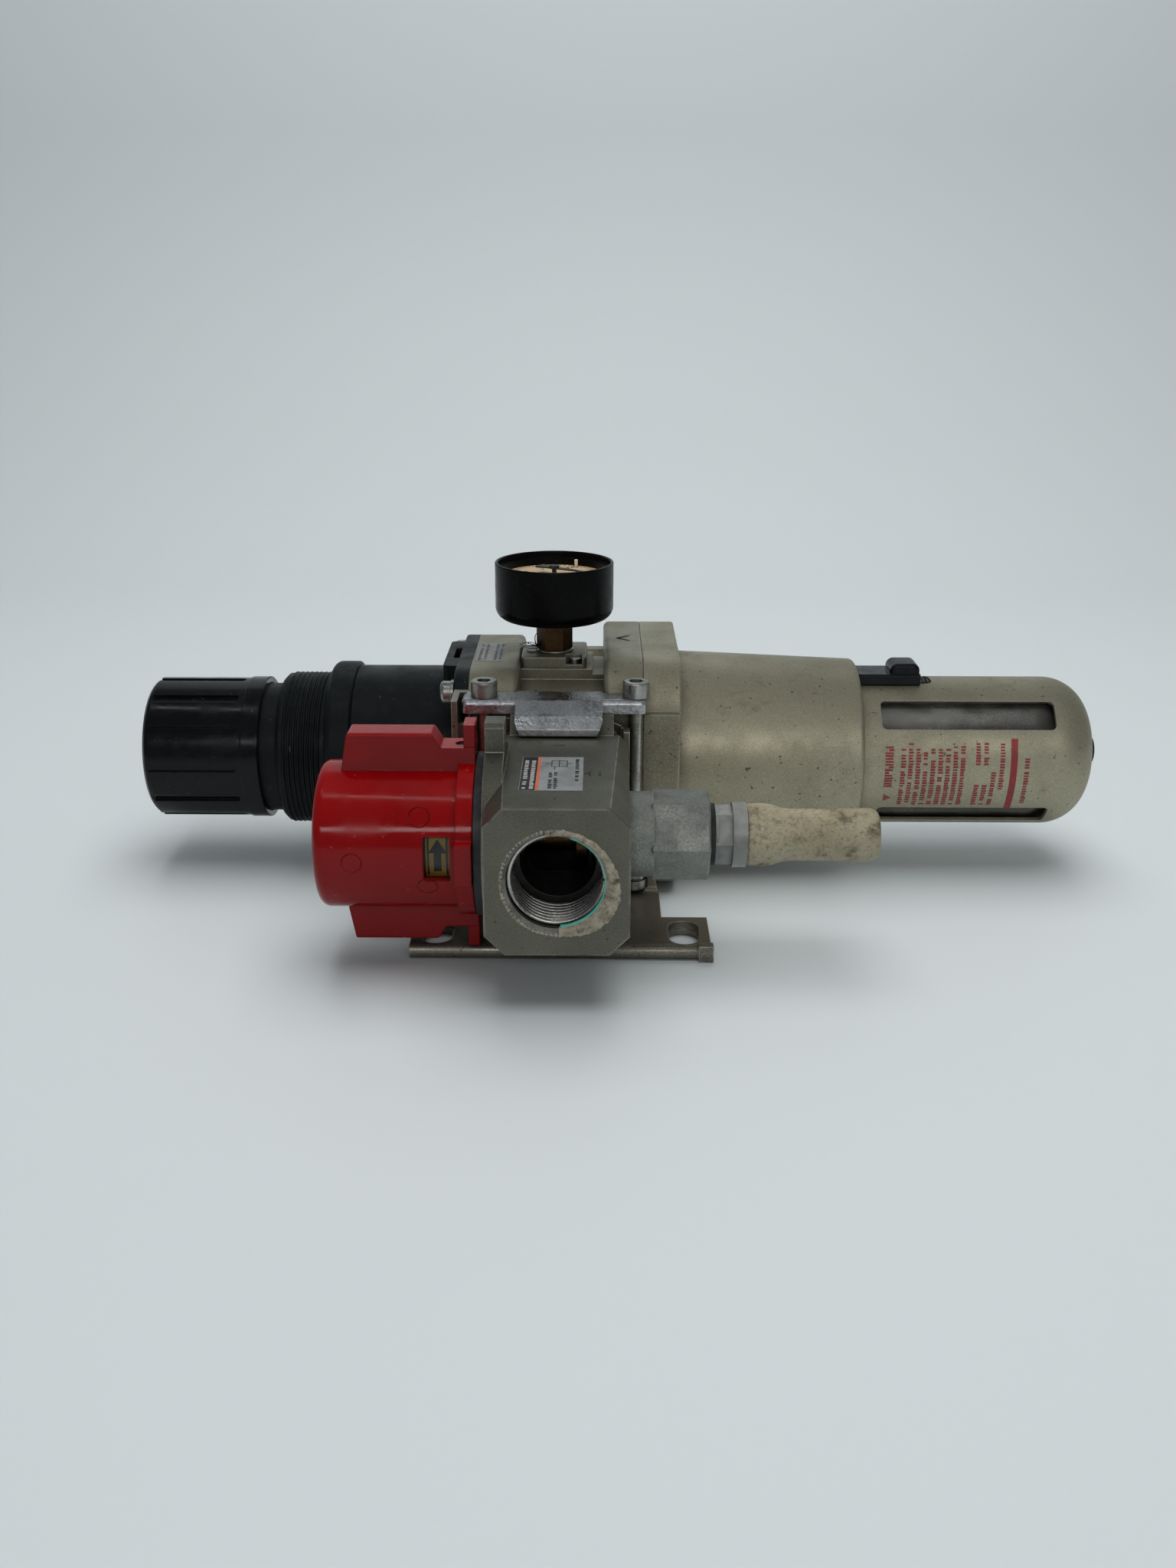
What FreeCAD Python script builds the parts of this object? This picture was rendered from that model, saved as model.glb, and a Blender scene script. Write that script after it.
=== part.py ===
import FreeCAD, Part
import math
import os

import Sketcher
from FreeCAD import Placement, Rotation, Vector

# A compressed-air regulator set lying on its mounting bracket: a filter-regulator with its adjusting
# knob at -X and its bowl at +X, a red-handled residual pressure relief valve in front of it (-Y) with
# an exhaust gland and silencer at +X, a screwed clamp and bracket at the joint, and a pressure gauge on
# top (+Z).
# Z = 0 is the bracket's mounting face and X = Y = 0 is midway between its two mounting slots.
# All lengths are in millimetres. X positions are measured from the port axis.

DIMENSIONS = (
    ("axis_height", 48.0, "port axis above the mounting face"),
    ("valve_y", -8.5, "centre of the relief valve, along the port axis"),
    ("joint_y", 39.5, "middle of the joint between valve and filter-regulator"),
    ("reg_y", 90.0, "axis of the filter-regulator"),
    ("joint_width", 6.0, "distance between the two joined port faces"),
    ("fit_gap", 0.05, "radial clearance of a running fit"),
    ("free_gap", 0.3, "clearance between parts that move past each other"),
    # ports and pipe threads, modelled as plain bores at the thread's major radius
    ("port_r", 16.62, "one-inch pipe port"),
    ("port_depth", 19.9, "depth of the port from its face to the thread's end"),
    ("port_mouth", 1.9, "countersink at the mouth of the relief valve's pipe port"),
    ("duct_r", 13.0, "air way behind the port thread"),
    ("duct_depth", 40.0, "depth of each air way from its port face"),
    # regulator body
    ("flange_left", -36.5, "regulator body's face to the bonnet"),
    ("flange_right", -17.5, "right side of the bonnet flange"),
    ("flange_half", 41.2, "half width of the bonnet flange"),
    ("flange_corner", 15.0, "corner radius of the bonnet flange"),
    ("waist_r", 36.0, "round waist between flange and head"),
    ("head_left", 15.5, "left side of the square head"),
    ("head_seam", 30.5, "parting face between regulator body and bowl housing"),
    ("head_right", 45.0, "right side of the square head"),
    ("head_half", 47.5, "half width of the square head"),
    ("head_rise", 46.5, "half height of the square head"),
    ("head_corner", 19.0, "corner radius of the square head"),
    ("seam_edge", 0.35, "bevel on both sides of the seam"),
    ("edge_round", 2.4, "general rounding of cast edges"),
    ("boss_right", 11.0, "right side of the gauge boss"),
    ("boss_half", 14.0, "half width of the gauge boss"),
    ("boss_top", 37.5, "top of the gauge boss above the axis"),
    ("ledge_top", 35.5, "top of the low ledge beside the gauge boss"),
    ("vee_top", 31.5, "half height of the clamped flange"),
    ("vee_root", 24.0, "half height behind the clamped flange"),
    ("vee_land", 5.0, "full-height land of the clamped flange"),
    ("vee_slope", 8.0, "length of the clamped flange's slope"),
    ("chamber_r", 30.0, "diaphragm chamber"),
    ("chamber_depth", 6.5, "depth of the diaphragm chamber"),
    ("diaphragm_r", 36.5, "radius of the diaphragm"),
    ("diaphragm_t", 0.9, "thickness of the diaphragm"),
    ("stem_bore_r", 11.5, "bore for the seat, poppet and guide"),
    ("gauge_x", -4.4, "gauge axis"),
    ("gauge_port_r", 6.4, "gauge port bore"),
    ("bonnet_screw_pitch", 33.0, "bonnet screws from the axis, along Y and Z"),
    ("housing_screw_pitch", 37.5, "bowl housing screws from the axis, along Y and Z"),
    # bonnet, ring nut, knob
    ("bonnet_plate_left", -42.5, "left face of the bonnet plate"),
    ("bonnet_pad_left", -48.0, "left face of the bonnet's raised pads"),
    ("bonnet_pad_half", 20.0, "half width of a raised pad"),
    ("bonnet_r", 34.0, "bonnet cylinder"),
    ("collar_right", -84.5, "right end of the threaded collar"),
    ("collar_left", -115.0, "left end of the threaded collar"),
    ("collar_r", 30.6, "threaded collar, at the thread's major radius"),
    ("neck_r", 26.4, "bonnet neck inside the knob"),
    ("neck_left", -124.0, "left end of the bonnet neck"),
    ("spring_bore_r", 24.5, "bonnet bore round the spring"),
    ("nut_bore_r", 19.6, "bonnet bore round the spring nut"),
    ("ring_nut_left", -95.0, "left side of the panel ring nut"),
    ("ring_nut_r", 35.6, "outside of the panel ring nut"),
    ("knob_end", -168.7, "outer end of the knob"),
    ("knob_r", 28.6, "outside of the knob's grips"),
    ("knob_skirt_left", -129.0, "left side of the knob's plain band"),
    ("knob_skirt_right", -122.0, "right end of the knob"),
    ("knob_wall", 3.2, "knob wall"),
    ("knob_band_step", 0.5, "step between grips and plain band"),
    ("grip_groove_w", 3.6, "width of a groove between grips"),
    ("grip_groove_d", 1.3, "depth of a groove between grips"),
    ("grip_count", 12.0, "grooves round the knob"),
    ("spindle_r", 6.0, "adjusting screw"),
    ("spindle_collar_r", 10.0, "thrust collar of the adjusting screw"),
    ("spindle_flat", 9.0, "hexagon of the adjusting screw inside the knob, across flats"),
    ("spindle_left", -159.0, "left end of the adjusting screw"),
    ("spindle_right", -76.0, "right end of the adjusting screw"),
    ("nut_left", -99.0, "left face of the spring nut"),
    ("nut_right", -91.0, "right face of the spring nut"),
    ("nut_lug_half", 2.5, "half width of the spring nut's two guide lugs"),
    ("nut_lug_reach", 21.5, "guide lugs' outer face from the axis"),
    ("plate_left", -41.0, "left face of the spring plate on the diaphragm"),
    ("plate_r", 22.5, "spring plate"),
    ("spring_mean_r", 16.0, "main spring's mean radius"),
    ("spring_wire_r", 2.1, "main spring's wire radius"),
    ("spring_turns", 5.5, "main spring's turns"),
    # valve parts inside the regulator
    ("lower_plate_t", 3.0, "lower diaphragm plate"),
    ("lower_plate_r", 20.0, "lower diaphragm plate's radius"),
    ("stem_r", 2.5, "valve stem"),
    ("seat_left", -5.0, "left face of the valve seat"),
    ("seat_right", -1.0, "right face of the valve seat"),
    ("seat_bore_r", 7.5, "opening of the valve seat"),
    ("poppet_r", 9.6, "poppet"),
    ("poppet_t", 5.0, "poppet's thickness"),
    ("guide_left", 14.0, "left face of the poppet guide"),
    ("guide_r", 3.5, "poppet's tail"),
    # bowl side
    ("housing_root_r", 40.6, "bowl housing at the head"),
    ("housing_end_r", 37.4, "bowl housing at its open end"),
    ("housing_end", 118.0, "open end of the bowl housing"),
    ("housing_bore_r", 31.0, "bore of the bowl housing"),
    ("housing_floor", 34.5, "bottom of the bowl housing's bore"),
    ("bowl_left", 64.0, "rim of the bowl"),
    ("bowl_right", 203.0, "closed end of the bowl"),
    ("bowl_r", 27.5, "outside of the bowl"),
    ("bowl_wall", 2.6, "wall of the bowl"),
    ("bowl_round", 15.0, "rounding of the bowl's closed end"),
    ("guard_left", 74.0, "inner end of the bowl guard"),
    ("guard_right", 213.6, "closed end of the bowl guard"),
    ("guard_r", 30.3, "outside of the bowl guard"),
    ("guard_wall", 1.6, "wall of the bowl guard"),
    ("guard_round", 17.5, "rounding of the guard's closed end"),
    ("window_left", 126.0, "left end of a guard window"),
    ("window_right", 195.0, "right end of a guard window"),
    ("window_half", 6.4, "half width of a guard window"),
    ("window_corner", 2.2, "corner radius of a guard window"),
    ("latch_left", 118.6, "left end of the latch"),
    ("latch_right", 143.4, "right end of the latch"),
    ("latch_half", 7.8, "half width of the latch"),
    ("latch_bar_top", 33.9, "top of the latch's bar above the bowl axis"),
    ("latch_hump_left", 131.4, "left side of the latch's thumb rest"),
    ("latch_hump_half", 6.4, "half width of the thumb rest"),
    ("latch_hump_top", 37.9, "top of the thumb rest above the bowl axis"),
    ("latch_slot_left", 119.5, "left end of the latch slot in the guard"),
    ("latch_slot_right", 149.0, "right end of the latch slot in the guard"),
    ("latch_slot_half", 5.8, "half width of the latch slot"),
    ("element_left", 42.0, "left end of the filter element"),
    ("element_right", 100.0, "right end of the filter element"),
    ("element_r", 20.0, "outside of the filter element"),
    ("drain_r", 5.5, "drain fitting"),
    ("drain_right", 217.8, "outer end of the drain fitting"),
    # gauge, heights above the port axis
    ("adapter_half", 13.0, "half width of the gauge adapter"),
    ("adapter_top", 42.0, "top of the gauge adapter"),
    ("adapter_screw_x", 8.4, "adapter screws from the gauge axis, along X"),
    ("adapter_screw_y", 10.0, "adapter screws from the gauge axis, along Y"),
    ("gauge_case_bottom", 55.2, "underside of the gauge case"),
    ("gauge_case_top", 78.0, "rim of the gauge case"),
    ("gauge_case_r", 23.7, "outside of the gauge case"),
    ("gauge_case_wall", 1.2, "wall of the gauge case"),
    ("gauge_case_round", 5.0, "rounding of the gauge case's underside"),
    ("gauge_ledge_top", 75.4, "top of the dial's seat ring"),
    ("gauge_ledge_r", 20.3, "inside of the dial's seat ring"),
    ("gauge_hex", 12.6, "gauge stem's hexagon across flats"),
    ("dial_bottom", 72.6, "underside of the dial"),
    ("dial_t", 0.8, "thickness of the dial"),
    ("pointer_bottom", 75.2, "underside of the pointer"),
    ("pointer_t", 0.5, "thickness of the pointer"),
    ("pointer_reach", 17.2, "pointer's tip from its axis"),
    ("pointer_tail", 7.5, "pointer's tail from its axis"),
    ("pointer_angle", -34.0, "direction the pointer stands at, in degrees from +X towards +Y"),
    ("hub_r", 2.0, "pointer hub"),
    ("stop_pin_x", 8.5, "stop pin from the gauge axis, along X"),
    ("stop_pin_y", 14.5, "stop pin from the gauge axis, along Y"),
    ("bourdon_r", 14.5, "mean radius of the pressure tube"),
    ("bourdon_tube_r", 2.0, "section radius of the pressure tube"),
    # relief valve
    ("valve_half_length", 45.0, "half length of the relief valve along the port axis"),
    ("valve_half_w", 24.2, "half width of the valve's front face"),
    ("valve_half_h", 26.0, "half height of the valve's front face"),
    ("valve_front_cut", 6.8, "corner chamfer at the front face"),
    ("valve_rear_cut", 3.0, "corner chamfer at the rear"),
    ("valve_disc_r", 32.5, "round mounting disc at the handle side"),
    ("valve_disc_left", -25.5, "left face of the mounting disc"),
    ("valve_disc_right", -18.8, "right face of the mounting disc"),
    ("ear_half", 6.0, "half thickness of the padlock ears along the port axis"),
    ("ear_top", 42.0, "top of the padlock ear"),
    ("handle_ear_top", 41.3, "ends of the handle's own ears"),
    ("ear_hole_r", 2.8, "padlock hole"),
    ("ear_hole_height", 36.9, "padlock hole above the axis"),
    ("spool_bore_r", 13.6, "bore for the spool"),
    ("spool_left", -22.0, "left end of the spool"),
    ("spool_right", 16.0, "right end of the spool"),
    ("handle_left", -83.6, "outer end of the handle"),
    ("handle_right", -28.8, "inner end of the handle"),
    ("handle_r", 26.0, "handle's cylinder"),
    ("handle_bore_r", 22.5, "inside of the handle"),
    ("handle_round", 3.5, "rounding of the handle's end"),
    ("handle_ring_left", -34.6, "left side of the handle's ring"),
    ("handle_ring_r", 28.6, "handle's ring"),
    ("wing_half", 6.0, "half thickness of the handle's wings"),
    ("wing_tip", 38.5, "wing tips from the axis"),
    ("wing_ledge", 33.4, "low part of the wings from the axis"),
    ("lug_reach", 31.0, "front lug from the axis"),
    ("lug_half", 7.5, "half height of the front lug"),
    ("label_window_left", -45.6, "left side of the handle's window"),
    ("label_window_right", -36.6, "right side of the handle's window"),
    ("label_window_half", 8.0, "half height of the handle's window"),
    ("drum_r", 21.9, "label drum inside the handle"),
    ("drum_left", -62.0, "left end of the label drum"),
    ("drum_flange_r", 29.0, "flange of the label drum"),
    ("cam_shaft_r", 6.0, "handle's cam shaft"),
    ("neck_end", 32.0, "end of the gland's round neck"),
    ("gland_neck_r", 15.2, "round neck of the exhaust gland"),
    ("gland_right", 52.5, "right end of the exhaust gland"),
    ("gland_hex", 28.0, "exhaust gland across flats"),
    ("exhaust_r", 10.4, "exhaust port"),
    ("collar_hex", 18.6, "silencer collar across flats"),
    ("silencer_hex_left", 54.4, "left end of the silencer's hexagon"),
    ("silencer_ring_left", 60.5, "left side of the silencer's ring"),
    ("silencer_left", 65.5, "left end of the porous body"),
    ("silencer_right", 112.0, "right end of the porous body"),
    ("silencer_r", 9.6, "porous body"),
    ("silencer_wide_r", 11.2, "porous body's wide end"),
    # clamp and bracket
    ("clamp_left", -38.0, "left end of the clamp bar"),
    ("clamp_right", 31.5, "right end of the clamp bar"),
    ("clamp_half", 6.2, "half width of the clamp bar"),
    ("clamp_bottom", 31.5, "underside of the clamp bar from the axis"),
    ("clamp_top", 36.8, "top of the clamp bar from the axis"),
    ("claw_reach", 19.0, "claw's outside from the joint plane"),
    ("claw_x", -1.2, "middle of the claws"),
    ("claw_half", 16.2, "half width of the claw at its root"),
    ("claw_taper", 2.8, "narrowing of the claw towards its tip"),
    ("tongue_left", -24.0, "left side of the web where it passes through the lower clamp bar"),
    ("tongue_right", 22.0, "right side of the web where it passes through the lower clamp bar"),
    ("screw_left_x", -29.5, "left clamp screw"),
    ("screw_right_x", 27.5, "right clamp screw"),
    ("screw_r", 2.6, "clamp screw's shank"),
    ("screw_head_r", 5.0, "clamp screw's head"),
    ("screw_head_h", 6.0, "height of the clamp screw's head"),
    ("nut_r", 5.2, "nuts under the lower clamp bar"),
    ("nut_h", 3.6, "height of the nuts under the lower clamp bar"),
    ("sheet_t", 2.9, "bracket's sheet thickness"),
    ("foot_half", 54.6, "half width of the bracket's foot"),
    ("foot_front", -12.5, "front edge of the foot"),
    ("foot_back", 13.5, "back edge of the foot's two-ply ends"),
    ("foot_neck", 37.5, "half width of the foot behind its ends"),
    ("slot_x", 45.2, "mounting slots from the middle"),
    ("slot_r", 5.65, "half width of a mounting slot"),
    ("slot_length", 20.0, "mounting slot from end to end"),
    ("web_left", -41.5, "left side of the bracket's web"),
    ("web_right", 24.3, "right side of the bracket's web above the gland"),
    ("web_low_right", 36.0, "right side of the bracket's web below the gland"),
    ("web_top", 28.5, "top of the bracket's web above the axis"),
    ("arm_front", 30.0, "front edge of the web's side flanges"),
    ("arm_left_top", 36.4, "top of the left side flange above the axis"),
    ("spacer_r", 18.6, "spacer ring between the ports"),
    ("rivet_r", 4.5, "rivets on the web"),
    ("rivet_x", 17.0, "rivets from the port axis, along X"),
    ("rivet_z", 20.0, "rivets from the port axis, along Z"),
)

BODY_FACES = {"X": "YZ_Plane", "Y": "XZ_Plane", "Z": "XY_Plane"}

doc = FreeCAD.newDocument("air_pressure_regulator")
sheet = doc.addObject("Spreadsheet::Sheet", "dims")


class Size:
    """A size with its value and the spreadsheet expression that gives it."""

    def __init__(self, value, text):
        self.value = value
        self.text = text

    def __add__(self, other):
        other = as_size(other)
        return Size(self.value + other.value, "(%s + %s)" % (self.text, other.text))

    def __sub__(self, other):
        other = as_size(other)
        return Size(self.value - other.value, "(%s - %s)" % (self.text, other.text))

    def __mul__(self, other):
        other = as_size(other)
        return Size(self.value * other.value, "(%s * %s)" % (self.text, other.text))

    def __truediv__(self, other):
        other = as_size(other)
        return Size(self.value / other.value, "(%s / %s)" % (self.text, other.text))

    def __neg__(self):
        return Size(-self.value, "(0 - %s)" % self.text)


def as_size(number):
    """A plain number as a Size."""
    return number if isinstance(number, Size) else Size(float(number), repr(float(number)))


class Dimensions:
    """The driving dimensions, one attribute for each alias in the spreadsheet."""


def fill_sheet():
    """Writes every driving dimension to the sheet and returns them by name."""
    dimensions = Dimensions()
    for row, (alias, value, note) in enumerate(DIMENSIONS, 1):
        sheet.set("A%d" % row, note)
        sheet.set("B%d" % row, str(value))
        sheet.setAlias("B%d" % row, alias)
        setattr(dimensions, alias, Size(value, "dims." + alias))
    doc.recompute()
    return dimensions


d = fill_sheet()
ZERO = as_size(0)
HALF_JOINT = d.joint_width / 2
REGULATOR = (ZERO, d.reg_y, d.axis_height)
VALVE = (ZERO, d.valve_y, d.axis_height)
JOINT = (ZERO, d.joint_y, d.axis_height)
GAUGE = (d.gauge_x, d.reg_y, d.axis_height)
HEX_CORNER = 2 / math.sqrt(3)


# ---------------------------------------------------------------- building blocks


def place(item, at):
    """Binds an object's position to the sheet."""
    for axis, size in zip("xyz", at):
        item.setExpression(".Placement.Base." + axis, as_size(size).text)


def new_body(label, at):
    """An empty part-design body named after its sub-part."""
    body = doc.addObject("PartDesign::Body", label)
    body.Label = label
    place(body, at)
    return body


def new_sketch(body, normal, height=ZERO, turn=0.0):
    """A sketch on the body's own plane with this normal, moved along the body's axis by height.

    The sketch's axes are Y and Z for an X plane, X and Z for a Y plane, X and Y for a Z plane.
    turn tilts a Z plane about X, in degrees.
    """
    sketch = body.newObject("Sketcher::SketchObject", body.Label + "_outline")
    plane = next(p for p in body.Origin.OriginFeatures if p.Role == BODY_FACES[normal])
    sketch.AttachmentSupport = [(plane, "")]
    sketch.MapMode = "FlatFace"
    sketch.AttachmentOffset = Placement(Vector(), Rotation(Vector(1, 0, 0), turn))
    along = -as_size(height) if normal == "Y" else as_size(height)
    sketch.setExpression(".AttachmentOffset.Base.z", along.text)
    return sketch


def bind(sketch, constraint, size):
    """Adds a dimensional constraint whose value comes from the sheet."""
    index = sketch.addConstraint(constraint)
    sketch.setExpression("Constraints[%d]" % index, size.text)


def pin(sketch, geometry, point, x, y):
    """Fixes a sketch point at x, y from the sketch's origin."""
    for kind, size, axis in (("DistanceX", x, -2), ("DistanceY", y, -1)):
        if abs(size.value) < 1e-9:
            sketch.addConstraint(Sketcher.Constraint("PointOnObject", geometry, point, axis))
        elif size.value > 0:
            bind(sketch, Sketcher.Constraint(kind, -1, 1, geometry, point, size.value), size)
        else:
            bind(sketch, Sketcher.Constraint(kind, geometry, point, -1, 1, -size.value), -size)


def draw_outline(sketch, points):
    """A closed outline of straight lines through the given points."""
    points = [(as_size(x), as_size(y)) for x, y in points]
    corners = [Vector(x.value, y.value, 0) for x, y in points]
    first = len(sketch.Geometry)
    count = len(corners)
    lines = [Part.LineSegment(corners[i], corners[(i + 1) % count]) for i in range(count)]
    sketch.addGeometry(lines, False)
    for i in range(count):
        following = first + (i + 1) % count
        sketch.addConstraint(Sketcher.Constraint("Coincident", first + i, 2, following, 1))
    for i, (x, y) in enumerate(points):
        pin(sketch, first + i, 1, x, y)


def draw_circle(sketch, x, y, radius):
    """A circle at x, y."""
    x, y, radius = as_size(x), as_size(y), as_size(radius)
    centre = Vector(x.value, y.value, 0)
    index = sketch.addGeometry(Part.Circle(centre, Vector(0, 0, 1), radius.value), False)
    pin(sketch, index, 3, x, y)
    bind(sketch, Sketcher.Constraint("Radius", index, radius.value), radius)


def draw_rounded(sketch, left, right, low, high, radius):
    """A rectangle with round corners."""
    left, right, low, high, radius = (as_size(s) for s in (left, right, low, high, radius))
    turns = ((right, low, 270, -1, 1), (right, high, 0, -1, -1), (left, high, 90, 1, -1),
        (left, low, 180, 1, 1))
    centres = [(x + radius * sx, y + radius * sy, start) for x, y, start, sx, sy in turns]
    first = len(sketch.Geometry)
    arcs = []
    for x, y, start in centres:
        circle = Part.Circle(Vector(x.value, y.value, 0), Vector(0, 0, 1), radius.value)
        arcs.append(Part.ArcOfCircle(circle, math.radians(start), math.radians(start + 90)))
    sides = []
    for i in range(4):
        sides.append(Part.LineSegment(arcs[i].EndPoint, arcs[(i + 1) % 4].StartPoint))
    sketch.addGeometry(arcs + sides, False)
    for i in range(4):
        arc, side, following = first + i, first + 4 + i, first + (i + 1) % 4
        sketch.addConstraint(Sketcher.Constraint("Tangent", arc, 2, side, 1))
        sketch.addConstraint(Sketcher.Constraint("Tangent", side, 2, following, 1))
        pin(sketch, arc, 3, centres[i][0], centres[i][1])
        if i:
            sketch.addConstraint(Sketcher.Constraint("Equal", first, arc))
    bind(sketch, Sketcher.Constraint("Radius", first, radius.value), radius)


def add_feature(body, kind, sketch, sizes, reverse=False):
    """Adds a sketch-based feature and makes it the body's tip."""
    feature = body.newObject("PartDesign::" + kind, body.Label + "_" + kind.lower())
    feature.Profile = sketch
    for name, size in sizes.items():
        feature.setExpression(name, as_size(size).text)
    if reverse:
        feature.Reversed = True
    body.Tip = feature
    return feature


def pad(body, sketch, length):
    """Extrudes a sketch towards +X, +Z or, for a sketch with its normal along Y, towards +Y."""
    along_y = sketch.AttachmentSupport[0][0].Role == BODY_FACES["Y"]
    return add_feature(body, "Pad", sketch, {"Length": length}, reverse=along_y)


def pocket(body, sketch, depth, towards_plus):
    """Cuts a sketch into the body towards + or - of the sketch's axis, and checks that it cut something."""
    doc.recompute()
    before = body.Shape.Volume
    along_y = sketch.AttachmentSupport[0][0].Role == BODY_FACES["Y"]
    feature = add_feature(body, "Pocket", sketch, {"Length": depth}, reverse=towards_plus != along_y)
    doc.recompute()
    if body.Shape.Volume > before - 0.01:
        raise ValueError("a pocket of %s cuts nothing" % body.Label)
    return feature


def revolve(body, sketch, about, kind="Revolution"):
    """Turns a sketch about its own horizontal (H) or vertical (V) axis."""
    feature = add_feature(body, kind, sketch, {"Angle": 360})
    feature.ReferenceAxis = (sketch, [about + "_Axis"])
    return feature


def repeat_round_x(body, features, count):
    """Repeats features evenly round the body's X axis."""
    pattern = body.newObject("PartDesign::PolarPattern", body.Label + "_pattern")
    pattern.Originals = features
    axis = next(a for a in body.Origin.OriginFeatures if a.Role == "X_Axis")
    pattern.Axis = (axis, [""])
    pattern.Angle = 360
    pattern.setExpression("Occurrences", as_size(count).text)
    body.Tip = pattern
    return pattern


def dress_edges(body, size, wanted, kind="Fillet"):
    """Rounds (Fillet) or chamfers every edge that wanted() picks."""
    doc.recompute()
    base = body.Tip
    names = ["Edge%d" % n for n, edge in enumerate(base.Shape.Edges, 1) if wanted(edge)]
    if not names:
        raise ValueError("no edges to dress on " + body.Label)
    feature = body.newObject("PartDesign::" + kind, body.Label + "_" + kind.lower())
    feature.Base = (base, names)
    feature.setExpression("Radius" if kind == "Fillet" else "Size", as_size(size).text)
    body.Tip = feature
    doc.recompute()
    if feature.Shape.isNull() or not feature.Shape.isValid():
        raise ValueError("the edges of %s can't be dressed" % body.Label)
    return feature


def middle(edge):
    """The point halfway along an edge."""
    return edge.valueAt((edge.FirstParameter + edge.LastParameter) / 2)


def runs_along(edge, axis):
    """True for a straight edge parallel to the named axis."""
    if len(edge.Vertexes) < 2 or not isinstance(edge.Curve, Part.Line):
        return False
    run = edge.Vertexes[1].Point - edge.Vertexes[0].Point
    return abs(abs(getattr(run, axis)) - run.Length) < 1e-6


def at_x(edge, x):
    """True for an edge that lies in the plane at this X."""
    box = edge.BoundBox
    return abs(box.XMin - x.value) < 1e-4 and abs(box.XMax - x.value) < 1e-4


def at_z(edge, z):
    """True for an edge that lies in the plane at this Z."""
    box = edge.BoundBox
    return abs(box.ZMin - z.value) < 1e-4 and abs(box.ZMax - z.value) < 1e-4


def is_port_mouth(edge, y):
    """True for the round edge of a pipe port in the face at this Y."""
    return abs(edge_radius(edge) - d.port_r.value) < 1e-4 and abs(edge.Curve.Center.y - y.value) < 1e-4


def edge_radius(edge):
    """The radius of a round edge, or 0."""
    return edge.Curve.Radius if isinstance(edge.Curve, Part.Circle) else 0.0


def turned_x(label, at, outline):
    """A solid turned about X from an outline of (x, radius) points."""
    body = new_body(label, at)
    sketch = new_sketch(body, "Z")
    draw_outline(sketch, outline)
    revolve(body, sketch, "H")
    return body


def turned_z(label, at, outline):
    """A solid turned about Z from an outline of (radius, z) points."""
    body = new_body(label, at)
    sketch = new_sketch(body, "Y")
    draw_outline(sketch, outline)
    revolve(body, sketch, "V")
    return body


def tube_outline(left, right, outer, inner):
    """The (x, radius) outline of a plain tube."""
    return [(left, inner), (left, outer), (right, outer), (right, inner)]


def rod_outline(left, right, radius):
    """The (x, radius) outline of a plain rod."""
    return [(left, ZERO), (left, radius), (right, radius), (right, ZERO)]


def hexagon(across_flats):
    """Corner points of a hexagon with two flats facing up and down."""
    corner = across_flats * (HEX_CORNER / 2)
    flat = across_flats / 2
    return [(corner, 0), (corner / 2, flat), (-corner / 2, flat), (-corner, 0), (-corner / 2, -flat),
        (corner / 2, -flat)]


def cross_outline(x, y, reach, half):
    """A plus-shaped outline, for the recess of a cross-head screw."""
    turns = ((1, 0), (0, 1), (-1, 0), (0, -1))
    arm = ((reach, -half), (reach, half), (half, half))
    return [(x + (c * px - n * py), y + (n * px + c * py)) for c, n in turns for px, py in arm]


def pad_hexagon_x(body, left, right, across_flats):
    """A hexagonal prism along X."""
    sketch = new_sketch(body, "X", left)
    draw_outline(sketch, hexagon(across_flats))
    return pad(body, sketch, as_size(right) - left)


def pad_block(body, left, right, front, back, bottom, top):
    """A rectangular block."""
    sketch = new_sketch(body, "Z", bottom)
    draw_outline(sketch, [(left, front), (right, front), (right, back), (left, back)])
    return pad(body, sketch, as_size(top) - bottom)


def pad_disc_x(body, left, right, radius, y=ZERO, z=ZERO):
    """A round disc or rod along X."""
    sketch = new_sketch(body, "X", left)
    draw_circle(sketch, y, z, radius)
    return pad(body, sketch, as_size(right) - left)


def bore_x(body, start, depth, radius, centres=((0, 0),), towards_plus=True):
    """Round holes along X from the plane at start."""
    sketch = new_sketch(body, "X", start)
    for y, z in centres:
        draw_circle(sketch, y, z, radius)
    return pocket(body, sketch, depth, towards_plus)


def bore_y(body, start, depth, radius, towards_plus):
    """A round hole along Y from the plane at start, on the body's axis."""
    sketch = new_sketch(body, "Y", start)
    draw_circle(sketch, 0, 0, radius)
    return pocket(body, sketch, depth, towards_plus)


def bore_z(body, start, depth, radius, centres, towards_plus=False):
    """Round holes along Z from the plane at start."""
    sketch = new_sketch(body, "Z", start)
    for x, y in centres:
        draw_circle(sketch, x, y, radius)
    return pocket(body, sketch, depth, towards_plus)


def four_corners(pitch):
    """Four points at the corners of a square."""
    return [(pitch * sy, pitch * sz) for sy in (-1, 1) for sz in (-1, 1)]


def coil_x(label, at, left, right, mean_r, wire_r, turns):
    """A round-wire compression spring along X."""
    body = new_body(label, at)
    sketch = new_sketch(body, "Z")
    draw_circle(sketch, as_size(left) + wire_r, mean_r, wire_r)
    height = as_size(right) - left - as_size(wire_r) * 2
    spring = add_feature(body, "AdditiveHelix", sketch, {"Pitch": height / turns, "Height": height})
    spring.ReferenceAxis = (sketch, ["H_Axis"])
    return body


def rounded_plate(body, left, right, half, rise, corner):
    """A plate with round corners, thick along X, from its half width and half height."""
    sketch = new_sketch(body, "X", left)
    draw_rounded(sketch, -half, half, -rise, rise, corner)
    return pad(body, sketch, as_size(right) - left)


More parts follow.
